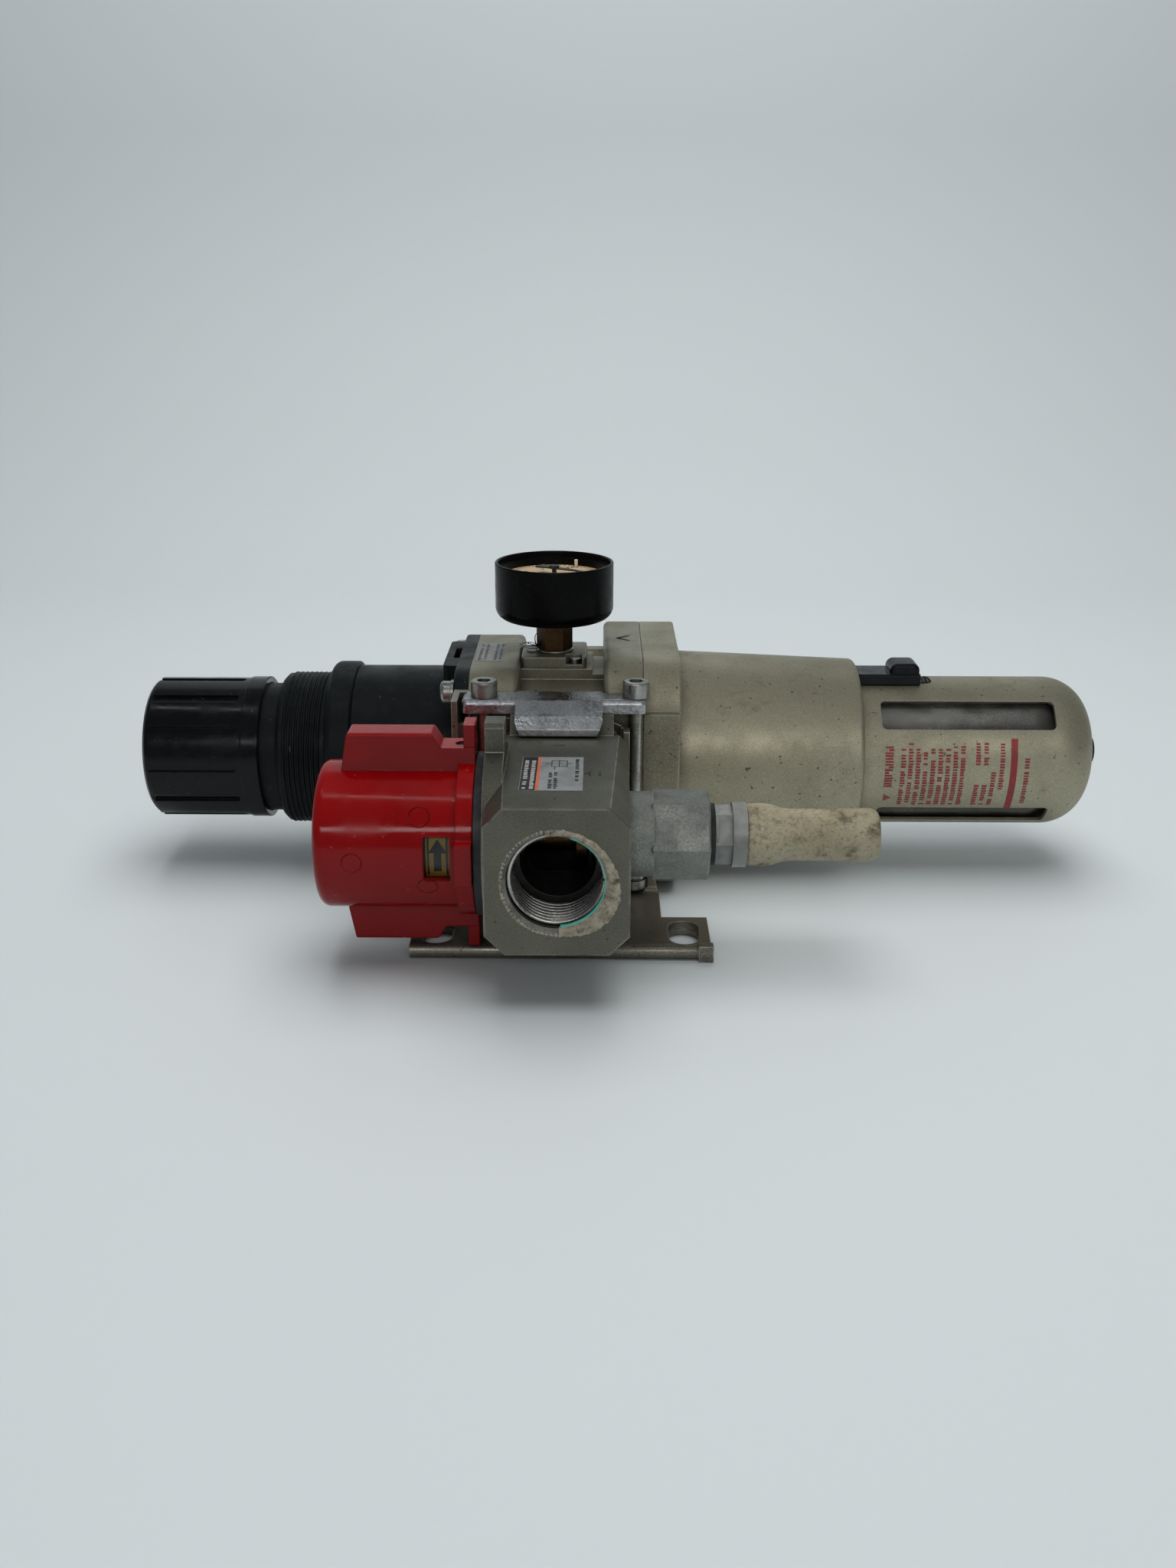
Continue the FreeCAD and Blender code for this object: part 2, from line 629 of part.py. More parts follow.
def join(body, other):
    """Fuses another body, placed in this one's own frame, into it."""
    fused = body.newObject("PartDesign::Boolean", body.Label + "_join")
    fused.Type = "Fuse"
    fused.setObjects([other])
    body.Tip = fused
    return fused


# ---------------------------------------------------------------- filter-regulator


def vee_outline(face):
    """Section, in Y and Z, of a port boss whose two ends are flanges that the clamp's claws hold."""
    land = face - d.vee_land
    root = land - d.vee_slope
    quarter = [(face, d.vee_top), (land, d.vee_top), (root, d.vee_root)]
    upper = quarter + [(-y, z) for y, z in reversed(quarter)]
    return upper + [(y, -z) for y, z in reversed(upper)]


def make_regulator_body():
    body = new_body("regulator_body", REGULATOR)
    rounded_plate(body, d.flange_left, d.flange_right, d.flange_half, d.flange_half, d.flange_corner)
    dress_edges(body, d.edge_round, lambda e: at_x(e, d.flange_right))
    pad_disc_x(body, d.flange_right - 1, d.head_left + 1, d.waist_r)
    sketch = new_sketch(body, "X", d.flange_right - 1)
    draw_outline(sketch, vee_outline(d.head_half))
    pad(body, sketch, d.head_left - d.flange_right + 2)
    head = new_body("regulator_head", (ZERO, ZERO, ZERO))
    rounded_plate(head, d.head_left, d.head_seam, d.head_half, d.head_rise, d.head_corner)
    dress_edges(head, d.edge_round, lambda e: at_x(e, d.head_left))
    dress_edges(head, d.seam_edge, lambda e: at_x(e, d.head_seam), "Chamfer")
    join(body, head)
    pad_block(body, d.flange_right - 1, d.boss_right, -d.boss_half, d.boss_half, ZERO, d.boss_top)
    pad_block(body, d.boss_right - 1, d.head_left + 1, -d.boss_half, d.boss_half, ZERO, d.ledge_top)
    for face, towards_plus in ((-d.head_half, True), (d.head_half, False)):
        bore_y(body, face, d.port_depth, d.port_r, towards_plus)
        bore_y(body, face, d.duct_depth, d.duct_r, towards_plus)
    bore_x(body, d.flange_left, d.diaphragm_t, d.diaphragm_r)
    bore_x(body, d.flange_left, d.chamber_depth, d.chamber_r)
    bore_x(body, d.flange_left, d.head_seam - d.flange_left, d.stem_bore_r)
    bore_x(body, d.flange_left, 12, 2.2, four_corners(d.bonnet_screw_pitch))
    bore_x(body, d.head_seam, 12, 2.2, four_corners(d.housing_screw_pitch), towards_plus=False)
    bore_x(body, d.head_seam, 24, 7, [(-d.duct_r * 2, 0)], towards_plus=False)
    bore_z(body, d.boss_top, 30, d.gauge_port_r, [(d.gauge_x, 0)])
    bore_z(body, d.boss_top, 8, 1.3, adapter_screw_places())
    return body


def adapter_screw_places():
    """The gauge adapter's two screws, at opposite corners, from the regulator's axis."""
    return [(d.gauge_x + d.adapter_screw_x * side, -d.adapter_screw_y * side) for side in (1, -1)]


def make_gauge_adapter():
    """The square block that carries the gauge, held by two small screws in open corner recesses."""
    body = new_body("gauge_adapter", REGULATOR)
    left, right = d.gauge_x - d.adapter_half, d.gauge_x + d.adapter_half
    pad_block(body, left, right, -d.adapter_half, d.adapter_half, d.boss_top, d.adapter_top)
    dress_edges(body, 1.6, lambda e: runs_along(e, "z"))
    dress_edges(body, 0.5, lambda e: at_z(e, d.adapter_top))
    bore_z(body, d.adapter_top, d.adapter_top - d.boss_top, d.gauge_port_r, [(d.gauge_x, 0)])
    sketch = new_sketch(body, "Z", d.adapter_top)
    for side, (x, y) in zip((1, -1), adapter_screw_places()):
        near, far = y + 2.9 * side, y - 4.2 * side
        draw_outline(sketch, [(x - 3.6, near), (x + 2.9, near), (x + 2.9, far), (x - 3.6, far)])
    pocket(body, sketch, 3.0, towards_plus=False)
    bore_z(body, d.adapter_top, d.adapter_top - d.boss_top, 1.3, adapter_screw_places())
    return body


def make_adapter_screws():
    """Two cheese-head screws with cross slots."""
    body = new_body("adapter_screws", REGULATOR)
    seat = d.adapter_top - 3
    for radius, bottom, top in ((1.25, d.boss_top - 7, seat), (2.4, seat, seat + 2.0)):
        sketch = new_sketch(body, "Z", bottom)
        for x, y in adapter_screw_places():
            draw_circle(sketch, x, y, radius)
        feature = pad(body, sketch, top - bottom)
        feature.AllowMultiFace = True
    return body


def make_bonnet():
    """Black spring bonnet: corner-screwed plate with raised side pads, cylinder, threaded collar and neck."""
    body = new_body("bonnet", REGULATOR)
    rounded_plate(body, d.bonnet_plate_left, d.flange_left, d.flange_half, d.flange_half, d.flange_corner)
    dress_edges(body, 1.2, lambda e: at_x(e, d.bonnet_plate_left))
    for low, high in ((d.bonnet_r - 4, d.flange_half - 1), (-d.flange_half + 1, -d.bonnet_r + 4)):
        pad_block(body, d.bonnet_pad_left, d.bonnet_plate_left + 1, -d.bonnet_pad_half, d.bonnet_pad_half,
            low, high)
    dress_edges(body, 2.0, lambda e: runs_along(e, "z") and middle(e).x < d.bonnet_pad_left.value + 0.1)
    sketch = new_sketch(body, "Z")
    outline = tube_outline(d.collar_right, d.flange_left, d.bonnet_r, d.spring_bore_r)
    draw_outline(sketch, outline)
    revolve(body, sketch, "H")
    sketch = new_sketch(body, "Z")
    draw_outline(sketch, [
        (d.collar_right + 1, d.nut_bore_r), (d.collar_left + 3, d.nut_bore_r),
        (d.collar_left + 3, d.spindle_r + d.fit_gap),
        (d.neck_left, d.spindle_r + d.fit_gap), (d.neck_left, d.neck_r), (d.collar_left, d.neck_r),
        (d.collar_left, d.collar_r - 1.6), (d.collar_left + 1.6, d.collar_r),
        (d.collar_right + 1, d.collar_r)])
    revolve(body, sketch, "H")
    bore_x(body, d.flange_left, d.flange_left - d.collar_right, d.spring_bore_r, towards_plus=False)
    bore_x(body, d.bonnet_plate_left, d.flange_left - d.bonnet_plate_left, 2.7,
        four_corners(d.bonnet_screw_pitch))
    lug_half, lug_reach = d.nut_lug_half + d.free_gap, d.nut_lug_reach + d.free_gap
    sketch = new_sketch(body, "X", d.collar_right + 2)
    draw_outline(sketch, [(-lug_reach, -lug_half), (lug_reach, -lug_half), (lug_reach, lug_half),
        (-lug_reach, lug_half)])
    pocket(body, sketch, d.collar_right - d.collar_left - 4, towards_plus=False)
    pocket_left, pocket_right = d.bonnet_pad_left + 3, d.bonnet_plate_left + 3
    for face, towards_plus in ((d.flange_half - 1, False), (-d.flange_half + 1, True)):
        sketch = new_sketch(body, "Z", face)
        draw_rounded(sketch, pocket_left, pocket_right, -8, 8, 1)
        pocket(body, sketch, 7, towards_plus)
    return body


def make_bonnet_screws():
    """Four pan-head screws with washers, in the corners of the bonnet plate."""
    body = new_body("bonnet_screws", REGULATOR)
    face = d.bonnet_plate_left
    for left, right, radius in ((face - 1, face, 4.9), (face - 5.4, face - 1, 4.5),
            (face, d.flange_left + 10, 2.1)):
        sketch = new_sketch(body, "X", left)
        for y, z in four_corners(d.bonnet_screw_pitch):
            draw_circle(sketch, y, z, radius)
        feature = pad(body, sketch, right - left)
        feature.AllowMultiFace = True
    dress_edges(body, 1.8, lambda e: at_x(e, face - 5.4))
    for y, z in four_corners(d.bonnet_screw_pitch):
        sketch = new_sketch(body, "X", face - 5.4)
        draw_outline(sketch, cross_outline(y, z, 2.4, 0.5))
        pocket(body, sketch, 1.6, towards_plus=True)
    return body


def make_housing_screws():
    """Four socket-head screws that hold the bowl housing to the regulator body."""
    body = new_body("housing_screws", REGULATOR)
    seat = d.head_right - 5
    for left, right, radius in ((seat, d.head_right - 1, 3.9), (d.head_seam - 10, seat, 2.1)):
        sketch = new_sketch(body, "X", left)
        for y, z in four_corners(d.housing_screw_pitch):
            draw_circle(sketch, y, z, radius)
        feature = pad(body, sketch, right - left)
        feature.AllowMultiFace = True
    return body


def make_ring_nut():
    """Panel nut on the bonnet's threaded collar."""
    outline = tube_outline(d.ring_nut_left, d.collar_right, d.ring_nut_r, d.collar_r + d.fit_gap)
    body = turned_x("panel_ring_nut", REGULATOR, outline)
    dress_edges(body, 3.0, lambda e: at_x(e, d.ring_nut_left) and edge_radius(e) > d.collar_r.value + 1)
    dress_edges(body, 1.0, lambda e: at_x(e, d.collar_right) and edge_radius(e) > d.collar_r.value + 1)
    return body


def make_knob():
    """Hollow knob with long grips between grooves, a plain band at its open end and a hub for the screw."""
    inner = d.knob_r - d.knob_wall
    bore = d.neck_r + d.free_gap
    end_wall = d.knob_end + 4
    hub_right = d.neck_left - 5
    step = d.neck_left - 5.5
    band = d.knob_r + d.knob_band_step
    body = turned_x("adjust_knob", REGULATOR, [
        (d.knob_end, ZERO), (d.knob_end, d.knob_r - 2.6), (d.knob_end + 1.2, d.knob_r - 1.2),
        (d.knob_end + 2.6, d.knob_r - 1.0), (d.knob_end + 2.6, d.knob_r), (d.knob_skirt_left, d.knob_r),
        (d.knob_skirt_left, band),
        (d.knob_skirt_right, band), (d.knob_skirt_right, bore), (step, bore), (step, inner),
        (end_wall, inner), (end_wall, d.spindle_collar_r), (hub_right, d.spindle_collar_r),
        (hub_right, ZERO)])
    dress_edges(body, 0.4, lambda e: at_x(e, d.knob_skirt_right) and edge_radius(e) > d.knob_r.value)
    sketch = new_sketch(body, "Z", d.knob_r - d.grip_groove_d)
    draw_rounded(sketch, d.knob_end - 4, d.knob_skirt_left - 2, -d.grip_groove_w / 2, d.grip_groove_w / 2,
        1.7)
    groove = pocket(body, sketch, 4, towards_plus=True)
    repeat_round_x(body, [groove], d.grip_count)
    sketch = new_sketch(body, "X", hub_right)
    draw_outline(sketch, hexagon(d.spindle_flat + d.fit_gap * 2))
    pocket(body, sketch, hub_right - d.spindle_left + 4.4, towards_plus=False)
    return body


def make_adjusting_screw():
    """Adjusting screw with a thrust collar in the bonnet's neck and a hexagon that the knob drives."""
    collar_left = d.collar_left + 3
    shoulder = d.neck_left - 0.5
    body = turned_x("adjusting_screw", REGULATOR, [
        (shoulder, ZERO), (shoulder, d.spindle_r), (collar_left, d.spindle_r),
        (collar_left, d.spindle_collar_r), (collar_left + 4, d.spindle_collar_r),
        (collar_left + 4, d.spindle_r),
        (d.spindle_right, d.spindle_r), (d.spindle_right, ZERO)])
    pad_hexagon_x(body, d.spindle_left, shoulder + 1, d.spindle_flat)
    return body


def make_spring_nut():
    """Nut that the adjusting screw drives along the bonnet, with two guide lugs and a rim for the spring."""
    rim_r = d.spring_mean_r - d.spring_wire_r - 0.5
    outer = d.nut_bore_r - d.free_gap
    bore = d.spindle_r + d.fit_gap
    body = turned_x("spring_nut", REGULATOR, [
        (d.nut_left, bore), (d.nut_left, outer), (d.nut_right, outer), (d.nut_right, rim_r),
        (d.nut_right + 3, rim_r), (d.nut_right + 3, bore)])
    for low, high in ((d.nut_bore_r - 4, d.nut_lug_reach), (-d.nut_lug_reach, -d.nut_bore_r + 4)):
        pad_block(body, d.nut_left, d.nut_right, low, high, -d.nut_lug_half, d.nut_lug_half)
    return body


def make_spring_plate():
    """Plate between the main spring and the diaphragm."""
    return turned_x("spring_plate", REGULATOR, [
        (d.plate_left, ZERO), (d.plate_left, d.plate_r), (d.flange_left, d.plate_r), (d.flange_left, ZERO)])


def make_diaphragm():
    return turned_x("diaphragm", REGULATOR, rod_outline(d.flange_left, d.flange_left + d.diaphragm_t,
        d.diaphragm_r))


def make_valve_stem():
    """Lower diaphragm plate with the valve stem that pushes the poppet."""
    face = d.flange_left + d.diaphragm_t
    return turned_x("valve_stem", REGULATOR, [
        (face, ZERO), (face, d.lower_plate_r), (face + d.lower_plate_t, d.lower_plate_r),
        (face + d.lower_plate_t, d.stem_r), (d.seat_right + 0.1, d.stem_r), (d.seat_right + 0.1, ZERO)])


def make_valve_seat():
    outline = tube_outline(d.seat_left, d.seat_right, d.stem_bore_r, d.seat_bore_r)
    return turned_x("valve_seat", REGULATOR, outline)


def make_poppet():
    """Poppet that closes on the seat, with a tail that slides in its guide."""
    face = d.seat_right + 0.1
    tail = d.guide_left + 6
    return turned_x("poppet", REGULATOR, [
        (face, ZERO), (face, d.poppet_r), (face + d.poppet_t, d.poppet_r), (face + d.poppet_t, d.guide_r),
        (tail, d.guide_r), (tail, ZERO)])


def make_poppet_guide():
    """Plug behind the poppet, with the bore that guides its tail."""
    bore = d.guide_r + d.fit_gap
    return turned_x("poppet_guide", REGULATOR, [
        (d.guide_left, bore), (d.guide_left, d.stem_bore_r), (d.head_seam, d.stem_bore_r),
        (d.head_seam, ZERO),
        (d.head_seam - 4, ZERO), (d.head_seam - 4, bore)])


def make_bowl_housing():
    """Right half of the square head with the tapered cylinder that the bowl locks into."""
    body = new_body("bowl_housing", REGULATOR)
    rounded_plate(body, d.head_seam, d.head_right, d.head_half, d.head_rise, d.head_corner)
    dress_edges(body, 1.0, lambda e: at_x(e, d.head_right))
    dress_edges(body, d.seam_edge, lambda e: at_x(e, d.head_seam), "Chamfer")
    sketch = new_sketch(body, "Z")
    draw_outline(sketch, [
        (d.head_right - 2, ZERO), (d.head_right - 2, d.housing_root_r), (d.housing_end, d.housing_end_r),
        (d.housing_end, ZERO)])
    revolve(body, sketch, "H")
    dress_edges(body, 2.0, lambda e: at_x(e, d.housing_end))
    bore_x(body, d.housing_end, d.housing_end - d.housing_floor, d.housing_bore_r, towards_plus=False)
    bore_x(body, d.head_seam, d.housing_floor - d.head_seam, d.housing_bore_r - 5)
    bore_x(body, d.head_right, 5, 4.1, four_corners(d.housing_screw_pitch), towards_plus=False)
    bore_x(body, d.head_right, d.head_right - d.head_seam, 2.3, four_corners(d.housing_screw_pitch),
        towards_plus=False)
    sketch = new_sketch(body, "Y", -d.head_half)
    draw_outline(sketch, [(d.head_seam, 28.6), (d.head_right + 1, 28.6), (d.head_right + 1, 29.4),
        (d.head_seam, 29.4)])
    pocket(body, sketch, 0.6, towards_plus=True)
    return body


def make_deflector():
    """Ring with slanted vanes that swirls the air round the filter element."""
    body = turned_x("air_deflector", REGULATOR, tube_outline(d.housing_floor, d.element_left,
        d.housing_bore_r - 7, 8))
    vane = pad_block(body, d.housing_floor + 1, d.element_left - 1, -0.7, 0.7, d.housing_bore_r - 8,
        d.housing_bore_r - 1)
    repeat_round_x(body, [vane], 12)
    return body


def make_filter_element():
    outline = tube_outline(d.element_left, d.element_right, d.element_r, d.element_r - 5)
    return turned_x("filter_element", REGULATOR, outline)


def make_element_retainer():
    """Baffle disc and tie rod that hold the filter element."""
    rod_r = 3.0
    disc_right = d.element_right + 3
    return turned_x("element_retainer", REGULATOR, [
        (d.head_seam, ZERO), (d.head_seam, rod_r), (d.element_right, rod_r),
        (d.element_right, d.bowl_r - d.bowl_wall - 1), (disc_right, d.bowl_r - d.bowl_wall - 1),
        (disc_right, 6),
        (disc_right + 6, 6), (disc_right + 6, ZERO)])


def make_bowl():
    """Clear bowl with a flanged rim and a round closed end."""
    inner = d.bowl_r - d.bowl_wall
    floor = d.bowl_right - d.bowl_wall
    rim_r = d.housing_bore_r - d.free_gap
    body = turned_x("bowl", REGULATOR, [
        (d.bowl_left, inner), (d.bowl_left, rim_r), (d.bowl_left + 2, rim_r), (d.bowl_left + 2, d.bowl_r),
        (d.bowl_right, d.bowl_r), (d.bowl_right, d.drain_r), (floor, d.drain_r), (floor, inner)])
    dress_edges(body, d.bowl_round, lambda e: at_x(e, d.bowl_right) and edge_radius(e) > 20)
    dress_edges(body, d.bowl_round - d.bowl_wall, lambda e: at_x(e, floor) and edge_radius(e) > 20)
    return body


def make_bowl_seal():
    """O-ring between the bowl and its housing."""
    ring = doc.addObject("Part::Torus", "bowl_seal")
    ring.Label = "bowl_seal"
    section = (d.housing_bore_r - d.bowl_r) / 2 - 0.1
    ring.setExpression("Radius1", (d.bowl_r + section + 0.1).text)
    ring.setExpression("Radius2", section.text)
    ring.Placement = Placement(Vector(), Rotation(Vector(0, 1, 0), 90))
    place(ring, (d.bowl_left + 4 + section, d.reg_y, d.axis_height))
    return ring


def make_guard():
    """Metal bowl guard with four long windows, the latch's slot and a hole for the drain."""
    inner = d.guard_r - d.guard_wall
    end_wall = d.guard_right - d.guard_wall
    hole = d.drain_r + d.free_gap
    body = turned_x("bowl_guard", REGULATOR, [
        (d.guard_left, inner), (d.guard_left, d.guard_r), (d.guard_right, d.guard_r), (d.guard_right, hole),
        (end_wall, hole), (end_wall, inner)])
    dress_edges(body, d.guard_round, lambda e: at_x(e, d.guard_right) and edge_radius(e) > 20)
    dress_edges(body, d.guard_round - d.guard_wall, lambda e: at_x(e, end_wall) and edge_radius(e) > 20)
    sketch = new_sketch(body, "Z", turn=45)
    draw_rounded(sketch, d.window_left, d.window_right, -d.window_half, d.window_half, d.window_corner)
    window = pocket(body, sketch, 40, towards_plus=True)
    repeat_round_x(body, [window], 4)
    sketch = new_sketch(body, "Z")
    draw_rounded(sketch, d.latch_slot_left, d.latch_slot_right, -d.latch_slot_half, d.latch_slot_half, 3)
    pocket(body, sketch, 40, towards_plus=True)
    return body


def make_latch():
    """Black latch button: a bar along the guard, a thumb rest, and a key that slides in the guard's slot."""
    body = new_body("latch_button", REGULATOR)
    pad_block(body, d.latch_left, d.latch_right, -d.latch_half, d.latch_half, d.guard_r - 4,
        d.latch_bar_top)
    pad_block(body, d.latch_hump_left, d.latch_right, -d.latch_hump_half, d.latch_hump_half,
        d.latch_bar_top - 1, d.latch_hump_top)
    dress_edges(body, 3.0, lambda e: at_z(e, d.latch_hump_top) and runs_along(e, "y"))
    dress_edges(body, 1.6, lambda e: at_z(e, d.latch_hump_top) and runs_along(e, "x"))
    dress_edges(body, 1.0, lambda e: at_z(e, d.latch_bar_top) and runs_along(e,
        "x") and abs(middle(e).y) > 7.5)
    sketch = new_sketch(body, "X", d.latch_left - 1)
    draw_circle(sketch, 0, 0, d.guard_r + d.free_gap)
    pocket(body, sketch, 40, towards_plus=True)
    key_half = d.latch_slot_half - d.free_gap
    pad_block(body, d.latch_slot_left + 3.2, d.latch_hump_left + 4, -key_half, key_half, d.bowl_r + 0.4,
        d.guard_r + 1)
    return body


def make_latch_spring():
    """Small spring that pushes the latch back towards the housing."""
    axis = (ZERO, d.reg_y, d.axis_height + d.bowl_r + 1.7)
    left, right = d.latch_hump_left + 4.1, d.latch_slot_right - 0.1
    return coil_x("latch_spring", axis, left, right, as_size(0.9), as_size(0.25), 9)


def make_drain_fitting():
    """Drain outlet held in the bottom of the bowl, just proud of the guard."""
    inside = d.bowl_right - d.bowl_wall
    return turned_x("drain_fitting", REGULATOR, [
        (inside - 4, 1.5), (inside - 4, d.drain_r + 2.5), (inside, d.drain_r + 2.5), (inside, d.drain_r),
        (d.drain_right, d.drain_r), (d.drain_right, 1.5)])


# ---------------------------------------------------------------- gauge


def make_gauge_stem():
    """Brass hexagon and threaded shank that carry the gauge."""
    body = turned_z("gauge_stem", GAUGE, [
        (ZERO, d.boss_top - 6), (d.gauge_port_r, d.boss_top - 6), (d.gauge_port_r, d.adapter_top + 0.5),
        (ZERO, d.adapter_top + 0.5)])
    sketch = new_sketch(body, "Z", d.adapter_top)
    draw_outline(sketch, hexagon(d.gauge_hex))
    pad(body, sketch, d.gauge_case_bottom - d.adapter_top)
    return body


def make_gauge_case():
    """Black cup with a rounded underside, a bead at its rim and a seat ring for the dial."""
    inner = d.gauge_case_r - d.gauge_case_wall
    floor = d.gauge_case_bottom + 2
    dial_seat = d.dial_bottom - 0.6
    body = turned_z("gauge_case", GAUGE, [
        (ZERO, d.gauge_case_bottom), (d.gauge_case_r, d.gauge_case_bottom),
        (d.gauge_case_r, d.gauge_case_top),
        (inner, d.gauge_case_top), (inner, d.gauge_ledge_top), (d.gauge_ledge_r, d.gauge_ledge_top),
        (d.gauge_ledge_r, dial_seat), (d.gauge_ledge_r - 2, dial_seat), (d.gauge_ledge_r - 2, floor),
        (ZERO, floor)])
    dress_edges(body, d.gauge_case_round, lambda e: at_z(e, d.gauge_case_bottom) and edge_radius(e) > 20)
    dress_edges(body, 0.45, lambda e: at_z(e, d.gauge_case_top))
    return body


def make_gauge_dial():
    bottom = d.dial_bottom - 0.6
    return turned_z("gauge_dial", GAUGE, [
        (as_size(1.2), bottom), (d.gauge_ledge_r, bottom), (d.gauge_ledge_r, bottom + d.dial_t),
        (as_size(1.2), bottom + d.dial_t)])


def make_gauge_pointer():
    """Pointer with a long tapered blade, a wide tail and the spindle that turns it."""
    body = new_body("gauge_pointer", GAUGE)
    body.Placement = Placement(Vector(), Rotation(Vector(0, 0, 1), d.pointer_angle.value))
    body.setExpression(".Placement.Rotation.Angle", d.pointer_angle.text)
    place(body, GAUGE)
    sketch = new_sketch(body, "Y")
    draw_outline(sketch, [
        (ZERO, d.dial_bottom - 4), (as_size(0.9), d.dial_bottom - 4), (as_size(0.9), d.pointer_bottom),
        (d.hub_r, d.pointer_bottom),
        (d.hub_r, d.pointer_bottom + 1.2), (ZERO, d.pointer_bottom + 1.2)])
    revolve(body, sketch, "V")
    sketch = new_sketch(body, "Z", d.pointer_bottom)
    draw_outline(sketch, [
        (0, -1.5), (d.pointer_reach, -0.35), (d.pointer_reach, 0.35), (0, 1.5), (-d.pointer_tail, 2.6),
        (-d.pointer_tail, -2.6)])
    pad(body, sketch, d.pointer_t)
    return body


def make_stop_pin():
    """Pin on the dial that the pointer rests against at zero."""
    bottom = d.dial_bottom - 0.6 + d.dial_t
    pin_body = doc.addObject("Part::Cylinder", "stop_pin")
    pin_body.Label = "stop_pin"
    pin_body.setExpression("Radius", "0.7")
    pin_body.setExpression("Height", (d.pointer_bottom + d.pointer_t + 0.2 - bottom).text)
    place(pin_body, (d.gauge_x + d.stop_pin_x, d.reg_y + d.stop_pin_y, d.axis_height + bottom))
    return pin_body


def make_bourdon_tube():
    """C-shaped pressure tube inside the gauge case, with its socket block."""
    body = new_body("bourdon_tube", (d.gauge_x, d.reg_y, d.axis_height + d.gauge_case_bottom + 8))
    sketch = new_sketch(body, "Y")
    draw_circle(sketch, d.bourdon_r, 0, d.bourdon_tube_r)
    arc = revolve(body, sketch, "V")
    arc.Angle = 270
    pad_block(body, d.bourdon_r - 4, d.bourdon_r + 2.6, as_size(-4), as_size(4), as_size(-6), as_size(3))
    return body


# ---------------------------------------------------------------- relief valve


def taper_corners(body, length):
    """Cuts the valve's four corners with chamfers that are wider at the port face than at the rear."""
    drift = (d.valve_front_cut - d.valve_rear_cut) / 2
    for sx, sz in ((1, 1), (1, -1), (-1, 1), (-1, -1)):
        wide, high = (d.valve_half_w + drift) * sx, (d.valve_half_h + drift) * sz
        cut = d.valve_front_cut + drift * 2
        sketch = new_sketch(body, "Y", -d.valve_half_length)
        draw_outline(sketch, [(wide, high), (wide - cut * sx, high), (wide, high - cut * sz)])
        wedge = add_feature(body, "Pocket", sketch, {"Length": length})
        wedge.UseCustomVector = True
        wedge.Direction = Vector(sx * drift.value, length.value, sz * drift.value)
        wedge.setExpression(".Direction.y", length.text)


def make_valve_body():
    """Octagonal port body with a squarer rear, a clamped rear flange, and the handle's disc and ear."""
    body = new_body("relief_valve_body", VALVE)
    body_end = d.valve_half_length - d.vee_land - d.vee_slope + 1
    sketch = new_sketch(body, "Y", -d.valve_half_length)
    wide, high = d.valve_half_w, d.valve_half_h
    draw_outline(sketch, [(wide, -high), (wide, high), (-wide, high), (-wide, -high)])
    pad(body, sketch, d.valve_half_length + body_end)
    taper_corners(body, d.valve_half_length + body_end)
    dress_edges(body, 0.6, lambda e: e.BoundBox.YMax < -d.valve_half_length.value + 0.01)
    face = d.valve_half_length
    land, root = face - d.vee_land, face - d.vee_land - d.vee_slope
    sketch = new_sketch(body, "X", -d.valve_half_w + 5)
    quarter = [(root - 8, d.valve_half_h - 0.5), (root, d.valve_half_h - 0.5), (land, d.vee_top),
        (face, d.vee_top)]
    draw_outline(sketch, quarter + [(y, -z) for y, z in reversed(quarter)])
    pad(body, sketch, (d.valve_half_w - 5) * 2)
    pad_disc_x(body, d.valve_disc_left, d.valve_disc_right, d.valve_disc_r)
    pad_block(body, d.valve_disc_left, d.valve_disc_right, -d.ear_half, d.ear_half, d.valve_half_h,
        d.ear_top)
    dress_edges(body, 2.2, lambda e: runs_along(e, "x") and middle(e).z > d.ear_top.value - 0.1)
    bore_y(body, -face, d.port_depth, d.port_r, True)
    bore_y(body, -face, face * 2, d.duct_r, True)
    dress_edges(body, d.port_mouth, lambda e: is_port_mouth(e, -face), "Chamfer")
    bore_x(body, d.valve_disc_left, d.valve_half_w - d.valve_disc_left, d.spool_bore_r)
    bore_x(body, d.valve_disc_left, 8, d.ear_hole_r, [(0, d.ear_hole_height)])
    return body


def make_label_drum():
    """Black drum under the handle that carries the two position labels, with a thin flange at the valve."""
    flange_left = d.handle_right + d.free_gap
    bore = d.cam_shaft_r + d.fit_gap
    return turned_x("label_drum", VALVE, [
        (d.drum_left, bore), (d.drum_left, d.drum_r), (flange_left, d.drum_r),
        (flange_left, d.drum_flange_r),
        (d.valve_disc_left, d.drum_flange_r), (d.valve_disc_left, bore)])


def wing_outline(side):
    """Outline, in X and Z, of one wing with its low ledge; side is 1 for the upper wing, -1 for the lower."""
    points = [
        (d.handle_left + 8, d.handle_r - 3), (d.handle_left + 10.8, d.wing_tip), (-43.6, d.wing_tip),
        (-40.6, d.wing_ledge), (d.handle_right, d.wing_ledge), (d.handle_right, d.handle_r - 3)]
    return [(as_size(x), as_size(z) * side) for x, z in points]


